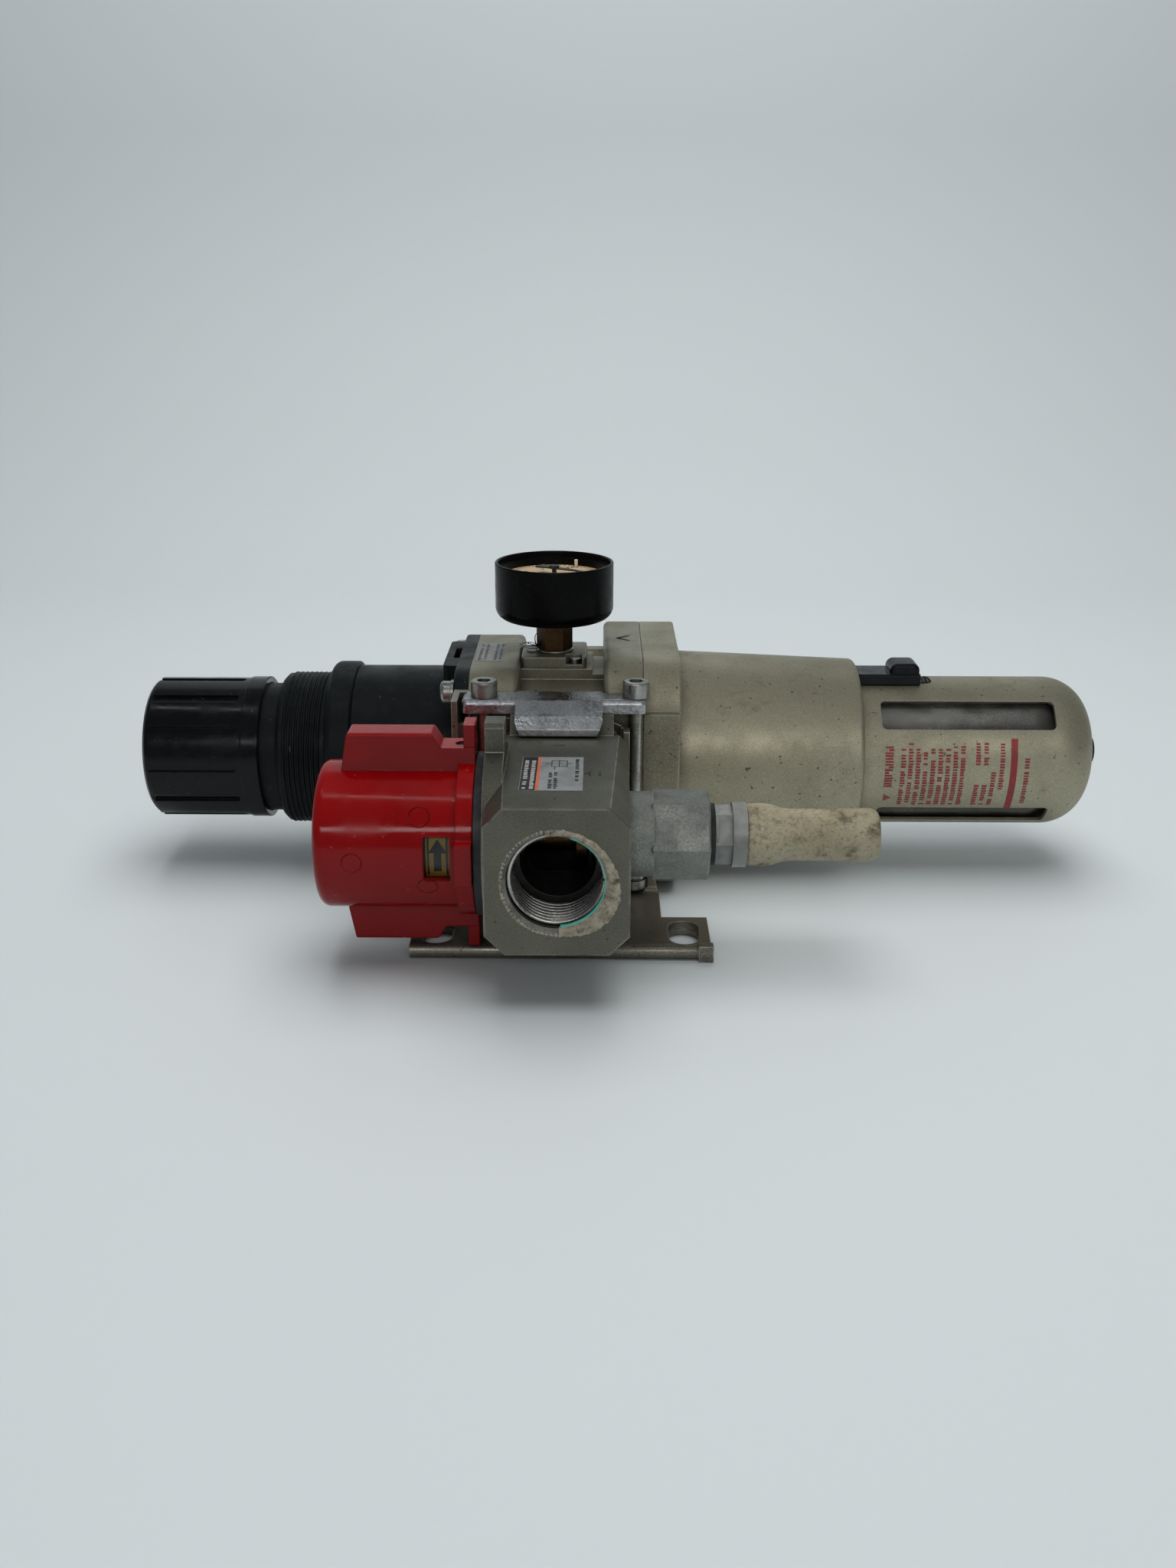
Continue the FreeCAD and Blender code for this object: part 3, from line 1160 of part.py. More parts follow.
def make_handle():
    """Red handle: closed cylinder with two wings, a ring with padlock ears and lugs, and a label window."""
    end_wall = d.handle_left + 3.4
    body = turned_x("valve_handle", VALVE, [
        (d.handle_left, ZERO), (d.handle_left, d.handle_r), (d.handle_ring_left, d.handle_r),
        (d.handle_ring_left, d.handle_ring_r), (d.handle_right, d.handle_ring_r),
        (d.handle_right, d.handle_bore_r),
        (end_wall, d.handle_bore_r), (end_wall, ZERO)])
    dress_edges(body, d.handle_round, lambda e: at_x(e, d.handle_left) and edge_radius(e) > 20)
    for side in (1, -1):
        sketch = new_sketch(body, "Y", -d.wing_half)
        draw_outline(sketch, wing_outline(side))
        pad(body, sketch, d.wing_half * 2)
        dress_edges(body, 1.2, lambda e, side=side: at_wing_tip(e) and middle(e).z * side > 0)
        ear = sorted(((d.wing_ledge - 4) * side, d.handle_ear_top * side), key=lambda size: size.value)
        pad_block(body, d.handle_right - 4, d.handle_right, -d.ear_half + 1, d.ear_half - 1, ear[0], ear[1])
    for low, high in ((-d.lug_reach, -d.handle_bore_r - 1), (d.handle_bore_r + 1, d.lug_reach)):
        pad_block(body, d.handle_ring_left, d.handle_right, low, high, -d.lug_half, d.lug_half)
    ear_hole_depth = d.handle_right - d.handle_ring_left
    bore_x(body, d.handle_right, ear_hole_depth, d.ear_hole_r, [(0, d.ear_hole_height)], towards_plus=False)
    sketch = new_sketch(body, "Y", ZERO)
    window = (d.label_window_left, d.label_window_right, -d.label_window_half, d.label_window_half)
    draw_rounded(sketch, *window, as_size(0.8))
    pocket(body, sketch, 40, towards_plus=False)
    bore_z(body, d.wing_ledge, 4, 2.3, [(d.handle_right - 4.8, 0)])
    return body


def at_wing_tip(edge):
    """Picks the edges round the flat tips of the handle's wings."""
    box = edge.BoundBox
    level = abs(abs(middle(edge).z) - d.wing_tip.value) < 0.05 and box.ZLength < 0.01
    return level and box.XMax < d.handle_ring_left.value


def make_cam_shaft():
    """Shaft that the handle turns; its cam moves the spool."""
    return turned_x("cam_shaft", VALVE, rod_outline(d.handle_left + 3.4, d.spool_left - 1.5, d.cam_shaft_r))


def make_handle_screw():
    """Small screw sunk in the handle's ledge."""
    screw = doc.addObject("Part::Cylinder", "handle_screw")
    screw.Label = "handle_screw"
    screw.setExpression("Radius", "2.2")
    screw.setExpression("Height", "3.2")
    place(screw, (d.handle_right - 4.8, d.valve_y, d.axis_height + d.wing_ledge - 4))
    return screw


def make_spool():
    """Spool with two lands and seal grooves."""
    land = d.spool_bore_r - d.fit_gap
    groove = land - 1.9
    left, right = d.spool_left, d.spool_right
    outline = [(left, ZERO), (left, land), (left + 4, land), (left + 4, groove), (left + 6.2, groove),
        (left + 6.2, land)]
    outline += [(left + 10, land), (left + 10, 6), (right - 10, 6), (right - 10, land)]
    outline += [(right - 6.2, land), (right - 6.2, groove), (right - 4, groove), (right - 4, land),
        (right, land), (right, ZERO)]
    return turned_x("spool", VALVE, outline)


def make_spool_seals():
    """The two O-rings in the spool's grooves, as one sub-part of two solids."""
    section = as_size(0.95)
    mean = d.spool_bore_r - d.fit_gap - section
    rings = []
    for name, x in (("spool_seal_left", d.spool_left + 5.1), ("spool_seal_right", d.spool_right - 5.1)):
        ring = doc.addObject("Part::Torus", name)
        ring.setExpression("Radius1", mean.text)
        ring.setExpression("Radius2", section.text)
        ring.Placement = Placement(Vector(), Rotation(Vector(0, 1, 0), 90))
        place(ring, (x, d.valve_y, d.axis_height))
        rings.append(ring)
    return group_of("spool_seals", rings)


def group_of(label, members):
    """Several separate solids kept as one sub-part."""
    group = doc.addObject("Part::Compound", label)
    group.Label = label
    group.Links = members
    return group


def make_exhaust_gland():
    """Cast gland with a round neck and a hexagon, bored for the silencer's thread."""
    body = turned_x("exhaust_gland", VALVE, rod_outline(d.valve_half_w, d.neck_end + 1, d.gland_neck_r))
    pad_hexagon_x(body, d.neck_end, d.gland_right, d.gland_hex)
    dress_edges(body, 1.0, lambda e: at_x(e, d.gland_right))
    dress_edges(body, 0.8, lambda e: at_x(e, d.neck_end) and not edge_radius(e))
    bore_x(body, d.gland_right, d.gland_right - d.valve_half_w, d.exhaust_r, towards_plus=False)
    return body


def make_gland_seal():
    outline = tube_outline(d.gland_right, d.silencer_hex_left, d.exhaust_r + 0.7, d.exhaust_r)
    return turned_x("gland_seal", VALVE, outline)


def make_silencer_collar():
    """Grey plastic collar: threaded shank, hexagon and a thin ring."""
    body = turned_x("silencer_collar", VALVE, [
        (d.gland_right - 12, 6.5), (d.gland_right - 12, d.exhaust_r - d.fit_gap),
        (d.silencer_hex_left + 1, d.exhaust_r - d.fit_gap),
        (d.silencer_hex_left + 1, 8), (d.silencer_ring_left, 8),
        (d.silencer_ring_left, d.silencer_wide_r + 0.3),
        (d.silencer_left, d.silencer_wide_r + 0.3), (d.silencer_left, 6.5)])
    pad_hexagon_x(body, d.silencer_hex_left, d.silencer_ring_left + 0.5, d.collar_hex)
    bore_x(body, d.silencer_left, d.silencer_left - d.gland_right + 12, 6.5, towards_plus=False)
    return body


def make_silencer_core():
    """Porous body of the silencer, closed at its end."""
    left, right = d.silencer_left, d.silencer_right
    body = turned_x("silencer_core", VALVE, [
        (left, 6), (left, d.silencer_wide_r), (left + 5, d.silencer_wide_r), (left + 8.5, d.silencer_r),
        (right, d.silencer_r), (right, ZERO), (right - 4, ZERO), (right - 4, 6)])
    dress_edges(body, 1.4, lambda e: at_x(e, right))
    return body


# ---------------------------------------------------------------- clamp and bracket


def claw_section():
    """Section, in Y and Z, of the clamp's two claws and the bar over them, for the upper bar."""
    inner_land = HALF_JOINT + d.vee_land + 0.4
    inner_tip = HALF_JOINT + d.vee_land + d.vee_slope - 0.6
    roof = d.vee_top
    half = [
        (d.clamp_half, d.clamp_top), (d.claw_reach - 4.5, d.clamp_top - 3.6), (d.claw_reach, roof - 2.2),
        (d.claw_reach, d.valve_half_h + 0.8), (inner_tip + 1, d.valve_half_h + 0.8), (inner_land, roof)]
    return half + [(-y, z) for y, z in reversed(half)]


def make_clamp_bar(label, side):
    """A clamp bar with a pair of tapered claws; side is 1 above the joint and -1 below it, at the web."""
    body = new_body(label, JOINT)
    sketch = new_sketch(body, "X", d.claw_x - d.claw_half)
    draw_outline(sketch, [(as_size(y), as_size(z) * side) for y, z in claw_section()])
    pad(body, sketch, d.claw_half * 2)
    for end in (-1, 1):
        root, tip = d.claw_x + d.claw_half * end, d.claw_x + (d.claw_half - d.claw_taper) * end
        sketch = new_sketch(body, "Y", -d.claw_reach - 1)
        slope = [(root, d.clamp_bottom * side), (root + end, (d.valve_half_h - 1) * side),
            (tip, (d.valve_half_h - 1) * side)]
        draw_outline(sketch, slope)
        pocket(body, sketch, d.claw_reach * 2 + 2, towards_plus=True)
    low, high = sorted((d.clamp_bottom * side, d.clamp_top * side), key=lambda size: size.value)
    sketch = new_sketch(body, "Z", low)
    draw_rounded(sketch, d.clamp_left, d.clamp_right, -d.clamp_half, d.clamp_half, as_size(2.5))
    pad(body, sketch, high - low)
    dress_edges(body, 2.2, lambda e: at_z(e, d.clamp_top * side) and runs_along(e,
        "x") and abs(middle(e).x) > 18)
    beside_head = HALF_JOINT + 0.1
    sketch = new_sketch(body, "X", d.head_left - d.free_gap)
    draw_outline(sketch, [
        (beside_head, (d.clamp_bottom - 0.1) * side), (beside_head + 2, (d.clamp_top + 0.1) * side),
        (d.claw_reach, (d.clamp_top + 0.1) * side), (d.claw_reach, (d.clamp_bottom - 0.1) * side)])
    pocket(body, sketch, d.clamp_right - d.head_left + 1, towards_plus=True)
    centres = [(d.screw_left_x, 0), (d.screw_right_x, 0)]
    bore_z(body, high, high - low, d.screw_r + 0.2, centres)
    if side < 0:
        gap_half = d.sheet_t / 2 + d.free_gap
        sketch = new_sketch(body, "Z", low)
        left, right = d.tongue_left - d.free_gap, d.tongue_right + d.free_gap
        draw_outline(sketch, [(left, -gap_half), (right, -gap_half), (right, gap_half), (left, gap_half)])
        pocket(body, sketch, high - low, towards_plus=True)
    return body


def make_clamp_screws():
    """Two long socket-head screws through both clamp bars, with nuts under the lower bar."""
    body = new_body("clamp_screws", JOINT)
    stages = (
        (-d.clamp_top - d.nut_h, d.clamp_top, d.screw_r),
        (d.clamp_top, d.clamp_top + d.screw_head_h, d.screw_head_r),
        (-d.clamp_top - d.nut_h, -d.clamp_top, d.nut_r))
    for bottom, top, radius in stages:
        sketch = new_sketch(body, "Z", bottom)
        for x in (d.screw_left_x, d.screw_right_x):
            draw_circle(sketch, x, 0, radius)
        feature = pad(body, sketch, top - bottom)
        feature.AllowMultiFace = True
    head_top = d.clamp_top + d.screw_head_h
    dress_edges(body, 0.7, lambda e: at_z(e, head_top))
    for x in (d.screw_left_x, d.screw_right_x):
        sketch = new_sketch(body, "Z", head_top)
        draw_outline(sketch, [(x + px, py) for px, py in hexagon(as_size(5))])
        pocket(body, sketch, 3, towards_plus=False)
    return body


def make_spacer():
    """Spacer ring that joins the two ports."""
    body = new_body("spacer_ring", JOINT)
    sketch = new_sketch(body, "Y", -HALF_JOINT)
    draw_circle(sketch, 0, 0, d.spacer_r)
    pad(body, sketch, d.joint_width)
    bore_y(body, -HALF_JOINT, d.joint_width, d.duct_r, True)
    for face, towards_plus in ((-HALF_JOINT, True), (HALF_JOINT, False)):
        sketch = new_sketch(body, "Y", face)
        draw_circle(sketch, 0, 0, as_size(17.5))
        pocket(body, sketch, 1.9, towards_plus)
    return body


def make_joint_seals():
    """The two O-rings in the spacer's counterbores."""
    rings = []
    for name, side in (("joint_seal_front", -1), ("joint_seal_rear", 1)):
        ring = doc.addObject("Part::Torus", name)
        ring.setExpression("Radius1", "16.3")
        ring.setExpression("Radius2", "0.95")
        ring.Placement = Placement(Vector(), Rotation(Vector(1, 0, 0), 90))
        place(ring, (ZERO, d.joint_y + (HALF_JOINT - 0.95) * side, d.axis_height))
        rings.append(ring)
    return group_of("joint_seals", rings)


def make_bracket():
    """Pressed bracket: a web in the joint, side flanges, and a two-ply slotted foot with a rolled edge."""
    body = new_body("bracket", (ZERO, ZERO, ZERO))
    up = d.axis_height
    web_front = d.joint_y - d.sheet_t / 2
    web_back = d.joint_y + d.sheet_t / 2
    foot_top = d.sheet_t * 2
    bar_bottom, bar_top = up - d.clamp_top - 0.4, up - d.clamp_bottom + 0.4
    sketch = new_sketch(body, "Y", web_front)
    draw_outline(sketch, [
        (-d.foot_neck, d.sheet_t), (d.foot_neck, d.sheet_t), (d.web_low_right, up - 37),
        (d.web_low_right, up - 22),
        (d.web_right, up - 8), (d.web_right, up + d.web_top - 4), (16, up + d.web_top),
        (-34, up + d.web_top),
        (d.web_left, up + d.web_top - 4), (d.web_left, up - 37)])
    pad(body, sketch, d.sheet_t)
    arm_top = up + d.web_top - 3
    pad_block(body, d.web_right - 2.3, d.web_right, d.joint_y - d.screw_r - 0.8, web_front + 1, up - 8,
        arm_top)
    pad_block(body, d.web_right - 1.4, d.web_right + 0.9, d.arm_front, d.joint_y - d.screw_r - 0.4, up - 8,
        arm_top)
    pad_block(body, d.web_left, d.web_left + 2.3, d.arm_front + 3, d.joint_y + 6.6, up - 20,
        up + d.arm_left_top)
    pad_block(body, d.web_left, d.web_left + 7.2, d.joint_y + 6.6, d.joint_y + 9.4,
        up + d.arm_left_top - 2.3, up + d.arm_left_top)
    pad_block(body, -d.foot_neck, d.foot_neck, d.foot_front + 4, web_back, d.sheet_t, foot_top)
    dress_edges(body, 3.0,
        lambda e: runs_along(e, "x") and abs(middle(e).y - web_front.value) < 0.01 and at_z(e, foot_top))
    dress_edges(body, 2.8,
        lambda e: runs_along(e, "x") and abs(middle(e).y - web_back.value) < 0.01 and at_z(e, d.sheet_t))
    pad_block(body, -d.foot_half, d.foot_half, d.foot_front, d.foot_back, ZERO, foot_top)
    dress_edges(body, d.sheet_t - 0.1, lambda e: runs_along(e,
        "x") and abs(middle(e).y - d.foot_front.value) < 0.01)
    sketch = new_sketch(body, "X", -d.foot_half)
    ply_gap = 0.2
    draw_outline(sketch, [
        (d.foot_front + 3.5, d.sheet_t - ply_gap), (d.foot_back + 1, d.sheet_t - ply_gap),
        (d.foot_back + 1, d.sheet_t),
        (d.foot_front + 3.5, d.sheet_t)])
    pocket(body, sketch, d.foot_half * 2, towards_plus=True)
    sketch = new_sketch(body, "Z", foot_top)
    for side in (-1, 1):
        x = d.slot_x * side
        draw_rounded(sketch, x - d.slot_r, x + d.slot_r, -d.slot_length / 2, d.slot_length / 2,
            d.slot_r - 0.001)
    pocket(body, sketch, foot_top, towards_plus=False)
    pad_block(body, d.foot_half - 4.5, d.foot_half + 0.8, d.foot_front - 0.8, d.foot_front + 3,
        as_size(0.1), foot_top + 0.5)
    sketch = new_sketch(body, "Y", web_front - 2)
    draw_circle(sketch, 0, up, d.spacer_r + d.free_gap)
    pocket(body, sketch, d.sheet_t + 4, towards_plus=True)
    slot_half = d.screw_r + 0.4
    nut_half, nut_low = d.nut_r + d.free_gap, up - d.clamp_top - d.nut_h - d.free_gap
    for left, right, bottom, top in (
            (d.clamp_left - 0.3, d.tongue_left, bar_bottom, bar_top),
            (d.tongue_right, d.clamp_right + 0.4, bar_bottom, bar_top),
            (d.screw_left_x - nut_half, d.screw_left_x + nut_half, nut_low, bar_top),
            (d.screw_right_x - nut_half, d.screw_right_x + nut_half, nut_low, bar_top),
            (d.screw_left_x - slot_half, d.screw_left_x + slot_half, bar_bottom, up + d.web_top + 1),
            (d.screw_right_x - slot_half, d.screw_right_x + slot_half, bar_bottom, up - 6)):
        sketch = new_sketch(body, "Y", web_front - 2)
        draw_outline(sketch, [(left, bottom), (right, bottom), (right, top), (left, top)])
        pocket(body, sketch, d.sheet_t + 4, towards_plus=True)
    return body


def make_bracket_rivets():
    """Four round rivets on the web, round the spacer."""
    body = new_body("bracket_rivets", JOINT)
    sketch = new_sketch(body, "Y", -HALF_JOINT)
    for sx in (-1, 1):
        for sz in (-1, 1):
            draw_circle(sketch, d.rivet_x * sx, d.rivet_z * sz, d.rivet_r)
    feature = pad(body, sketch, HALF_JOINT - d.sheet_t / 2)
    feature.AllowMultiFace = True
    return body


# ---------------------------------------------------------------- the whole set


def make_all():
    """Builds every sub-part and returns them in order."""
    return [
        make_regulator_body(), make_gauge_adapter(), make_adapter_screws(), make_bonnet(),
        make_bonnet_screws(),
        make_housing_screws(), make_ring_nut(), make_knob(), make_adjusting_screw(), make_spring_nut(),
        make_spring_plate(), make_diaphragm(), make_valve_stem(), make_valve_seat(), make_poppet(),
        make_poppet_guide(),
        coil_x("main_spring", REGULATOR, d.nut_right, d.plate_left, d.spring_mean_r, d.spring_wire_r,
        d.spring_turns),
        coil_x("poppet_spring", REGULATOR, d.seat_right + 0.1 + d.poppet_t, d.guide_left, as_size(6.2),
        as_size(0.6), 3.5),
        make_bowl_housing(), make_deflector(), make_filter_element(), make_element_retainer(), make_bowl(),
        make_bowl_seal(), make_guard(), make_latch(), make_latch_spring(), make_drain_fitting(),
        make_gauge_stem(), make_gauge_case(), make_gauge_dial(), make_gauge_pointer(), make_stop_pin(),
        make_bourdon_tube(), make_valve_body(), make_label_drum(), make_handle(), make_cam_shaft(),
        make_handle_screw(),
        make_spool(), make_spool_seals(), make_exhaust_gland(), make_gland_seal(), make_silencer_collar(),
        make_silencer_core(), make_clamp_bar("clamp_bar_upper", 1), make_clamp_bar("clamp_bar_lower", -1),
        make_clamp_screws(), make_spacer(), make_joint_seals(), make_bracket(), make_bracket_rivets()]


def check(parts):
    """Stops if any object failed or any sub-part has no valid solid."""
    for item in doc.Objects:
        if "Invalid" in item.State or "Error" in item.State:
            raise ValueError("%s did not compute: %s" % (item.Name, item.State))
    for part in parts:
        if part.Shape.isNull() or not part.Shape.isValid() or not part.Shape.Solids:
            raise ValueError("%s has no valid solid" % part.Label)


def export(parts):
    """Writes each sub-part to parts/NODE.step."""
    os.makedirs("parts", exist_ok=True)
    for part in parts:
        part.Shape.exportStep(os.path.join("parts", part.Label + ".step"))
        print("%-20s %10.1f mm3 %d solid(s)" % (part.Label, part.Shape.Volume, len(part.Shape.Solids)))


sub_parts = make_all()
doc.recompute()
check(sub_parts)
export(sub_parts)
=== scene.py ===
import bmesh
import bpy
import math
import random
from mathutils import Matrix, Vector, noise


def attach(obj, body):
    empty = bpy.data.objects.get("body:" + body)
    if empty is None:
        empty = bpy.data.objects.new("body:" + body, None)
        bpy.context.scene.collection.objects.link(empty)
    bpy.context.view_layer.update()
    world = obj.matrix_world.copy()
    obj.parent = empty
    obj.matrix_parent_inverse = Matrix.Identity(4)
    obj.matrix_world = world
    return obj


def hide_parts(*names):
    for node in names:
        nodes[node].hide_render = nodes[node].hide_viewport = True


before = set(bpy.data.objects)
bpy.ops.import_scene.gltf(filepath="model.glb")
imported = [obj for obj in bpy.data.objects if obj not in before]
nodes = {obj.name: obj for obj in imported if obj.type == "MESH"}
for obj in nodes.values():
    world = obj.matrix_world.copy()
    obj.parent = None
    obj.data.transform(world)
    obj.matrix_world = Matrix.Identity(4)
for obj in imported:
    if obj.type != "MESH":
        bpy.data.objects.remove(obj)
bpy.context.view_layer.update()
scene = bpy.context.scene
MM = 0.001
# In millimetres: the axes of both units and the gauge, the thread's pitch, and surfaces that carry marks.
AXIS_Z = 48.0
VALVE_Y = -8.5
REG_Y = 90.0
GAUGE_X = -4.4
THREAD_PITCH = 2.309
VALVE_TOP = AXIS_Z + 26.0
PORT_FACE_Y = VALVE_Y - 45.0
GUARD_R = 30.3
HANDLE_R = 26.0
DIAL_TOP = AXIS_Z + 73.4
PORT_EDGE_R = 18.55


# ---------------------------------------------------------------- camera, floor and light


def make_camera():
    """A camera in front of the set and above it, looking down."""
    camera = bpy.data.cameras.new("camera")
    camera.sensor_width = 36.0
    camera.lens = 34.15
    holder = bpy.data.objects.new("camera", camera)
    scene.collection.objects.link(holder)
    yaw, pitch, roll = (math.radians(angle) for angle in (-0.35, 19.39, 0.15))
    forward = Vector((math.sin(yaw) * math.cos(pitch), math.cos(yaw) * math.cos(pitch), -math.sin(pitch)))
    level = Vector((math.cos(yaw), -math.sin(yaw), 0))
    rise = level.cross(forward)
    right = level * math.cos(roll) + rise * math.sin(roll)
    up = rise * math.cos(roll) - level * math.sin(roll)
    turn = Matrix((right, up, -forward)).transposed().to_4x4()
    holder.matrix_world = Matrix.Translation(Vector((12.9, -498.9, 239.2)) * MM) @ turn
    scene.camera = holder


def make_stage():
    """A pale floor that curves up into a pale wall behind."""
    width, front, back, curve, top = 2.6, -2.6, 0.62, 0.35, 1.6
    profile = [(front, 0.0), (back, 0.0)]
    for step in range(1, 13):
        angle = math.radians(90 * step / 12)
        profile.append((back + curve * math.sin(angle), curve * (1 - math.cos(angle))))
    profile.append((back + curve, top))
    points = [(x, y, z) for x in (-width, width) for y, z in profile]
    count = len(profile)
    faces = [(i, i + count, i + count + 1, i + 1) for i in range(count - 1)]
    mesh = bpy.data.meshes.new("sweep")
    mesh.from_pydata(points, [], faces)
    mesh.polygons.foreach_set("use_smooth", [True] * len(faces))
    sweep = bpy.data.objects.new("sweep", mesh)
    scene.collection.objects.link(sweep)
    material = bpy.data.materials.new("sweep")
    material.use_nodes = True
    shader = material.node_tree.nodes["Principled BSDF"]
    shader.inputs["Base Color"].default_value = (0.62, 0.66, 0.67, 1)
    shader.inputs["Roughness"].default_value = 0.5
    mesh.materials.append(material)


def add_area_light(name, place, target, size, power, mirrored=True):
    """An area light; one that isn't mirrored leaves no highlight of its own."""
    light = bpy.data.lights.new(name, "AREA")
    light.shape = "RECTANGLE"
    light.size, light.size_y = size
    light.energy = power
    holder = bpy.data.objects.new(name, light)
    scene.collection.objects.link(holder)
    holder.location = place
    holder.rotation_euler = (Vector(target) - Vector(place)).to_track_quat("-Z", "Y").to_euler()
    holder.visible_glossy = mirrored


def make_lights():
    """Soft overhead light, a front light that the cylinders' middles catch, thin tubes and an even fill."""
    add_area_light("overhead", (0.1, 0.12, 1.3), (0.0, 0.1, 0.0), (1.5, 0.9), 15, False)
    add_area_light("front", (0.2, -1.7, 0.9), (0.0, 0.0, 0.05), (1.6, 0.2), 6)
    add_area_light("tubes", (-0.3, -0.35, 1.6), (0.0, 0.0, 0.0), (1.5, 0.05), 1.2)
    world = bpy.data.worlds.new("surroundings")
    world.use_nodes = True
    background = world.node_tree.nodes["Background"]
    background.inputs["Color"].default_value = (0.9, 0.95, 1.0, 1)
    background.inputs["Strength"].default_value = 0.21
    scene.world = world
    scene.view_settings.view_transform = "Standard"


# ---------------------------------------------------------------- materials


class Look:
    """A material's node tree, laid out in the object's own coordinates, in metres."""

    def __init__(self, name, roughness, metallic=0.0):
        self.material = bpy.data.materials.new(name)
        self.material.use_nodes = True
        self.tree = self.material.node_tree
        self.shader = self.tree.nodes["Principled BSDF"]
        self.place = self.node("ShaderNodeTexCoord").outputs["Object"]
        self.bumps = None
        self.feed("Roughness", roughness)
        self.feed("Metallic", metallic)

    def node(self, kind, **settings):
        made = self.tree.nodes.new(kind)
        for name, value in settings.items():
            setattr(made, name, value)
        return made

    def put(self, socket, value):
        """Links an output to the socket, or sets a plain value or colour."""
        if isinstance(value, bpy.types.NodeSocket):
            self.tree.links.new(value, socket)
        elif socket.type == "RGBA":
            socket.default_value = (*value, 1.0)
        else:
            socket.default_value = value

    def feed(self, name, value):
        self.put(self.shader.inputs[name], value)

    def noise(self, scale, detail=4.0, rough=0.55, stretch=(1.0, 1.0, 1.0), turn=(0.0, 0.0, 0.0)):
        """Noise from 0 to 1; scale is in features per metre."""
        mapping = self.node("ShaderNodeMapping")
        self.put(mapping.inputs["Vector"], self.place)
        mapping.inputs["Scale"].default_value = stretch
        mapping.inputs["Rotation"].default_value = turn
        made = self.node("ShaderNodeTexNoise")
        self.put(made.inputs["Vector"], mapping.outputs["Vector"])
        made.inputs["Scale"].default_value = scale
        made.inputs["Detail"].default_value = detail
        made.inputs["Roughness"].default_value = rough
        return made.outputs["Fac"]

    def pores(self, scale):
        """Distance from the nearest of many scattered points, for pits and specks."""
        made = self.node("ShaderNodeTexVoronoi")
        self.put(made.inputs["Vector"], self.place)
        made.inputs["Scale"].default_value = scale
        return made.outputs["Distance"]

    def band(self, value, low, high, start=0.0, end=1.0):
        """Runs smoothly from start to end as value goes from low to high."""
        made = self.node("ShaderNodeMapRange", interpolation_type="SMOOTHSTEP")
        self.put(made.inputs["Value"], value)
        for name, number in (("From Min", low), ("From Max", high), ("To Min", start), ("To Max", end)):
            made.inputs[name].default_value = number
        return made.outputs["Result"]

    def maths(self, operation, a, b):
        made = self.node("ShaderNodeMath", operation=operation)
        self.put(made.inputs[0], a)
        self.put(made.inputs[1], b)
        return made.outputs["Value"]

    def mix(self, share, a, b):
        """Blends two colours; 0, 6, 7 and output 2 are the sockets that a Mix node has for colours."""
        made = self.node("ShaderNodeMix", data_type="RGBA")
        self.put(made.inputs[0], share)
        self.put(made.inputs[6], a)
        self.put(made.inputs[7], b)
        return made.outputs[2]

    def hollows(self, reach):
        """Near 1 in corners and gaps, 0 in the open."""
        made = self.node("ShaderNodeAmbientOcclusion", samples=6)
        made.inputs["Distance"].default_value = reach
        return self.maths("SUBTRACT", 1.0, made.outputs["AO"])

    def edges(self, radius):
        """Above 0 along sharp edges."""
        bevel = self.node("ShaderNodeBevel", samples=4)
        bevel.inputs["Radius"].default_value = radius
        geometry = self.node("ShaderNodeNewGeometry")
        dot = self.node("ShaderNodeVectorMath", operation="DOT_PRODUCT")
        self.put(dot.inputs[0], bevel.outputs["Normal"])
        self.put(dot.inputs[1], geometry.outputs["Normal"])
        return self.maths("SUBTRACT", 1.0, dot.outputs["Value"])

    def soften(self, radius):
        """Rounds the shading of sharp edges, under any relief that comes after."""
        bevel = self.node("ShaderNodeBevel", samples=4)
        bevel.inputs["Radius"].default_value = radius
        self.bumps = bevel.outputs["Normal"]

    def upward(self):
        """1 on faces that look up, 0 on the others."""
        geometry = self.node("ShaderNodeNewGeometry")
        parts = self.node("ShaderNodeSeparateXYZ")
        self.put(parts.inputs["Vector"], geometry.outputs["Normal"])
        return self.band(parts.outputs["Z"], 0.35, 0.95)

    def bump(self, height, strength, distance=0.0003):
        """Adds a layer of surface relief on the layers before it."""
        made = self.node("ShaderNodeBump")
        made.inputs["Strength"].default_value = strength
        made.inputs["Distance"].default_value = distance
        self.put(made.inputs["Height"], height)
        if self.bumps is not None:
            self.put(made.inputs["Normal"], self.bumps)
        self.bumps = made.outputs["Normal"]
        self.feed("Normal", self.bumps)

    def scratches(self, scale=420.0, rarity=0.66, turn=(0.0, 0.0, 0.0)):
        """Thin broken lines."""
        lines = self.band(self.noise(scale, 3.0, 0.6, (0.06, 1.0, 1.0), turn), rarity, rarity + 0.05)
        return self.maths("MULTIPLY", lines, self.band(self.noise(45.0, 2.0), 0.45, 0.65))

    def within(self, radius, axis_z, low_y, high_y):
        """1 inside a cylinder along Y over x = 0, between two planes; all in metres."""
        parts = self.node("ShaderNodeSeparateXYZ")
        self.put(parts.inputs["Vector"], self.place)
        level = self.maths("SUBTRACT", parts.outputs["Z"], axis_z)
        across = self.maths("POWER", parts.outputs["X"], 2.0)
        square = self.maths("ADD", across, self.maths("POWER", level, 2.0))
        inside = self.band(square, radius ** 2, (radius - 0.0002) ** 2)
        deep = self.band(parts.outputs["Y"], low_y, low_y + 0.0004)
        far_enough = self.maths("MULTIPLY", inside, deep)
        return self.maths("MULTIPLY", far_enough, self.band(parts.outputs["Y"], high_y, high_y - 0.0004))


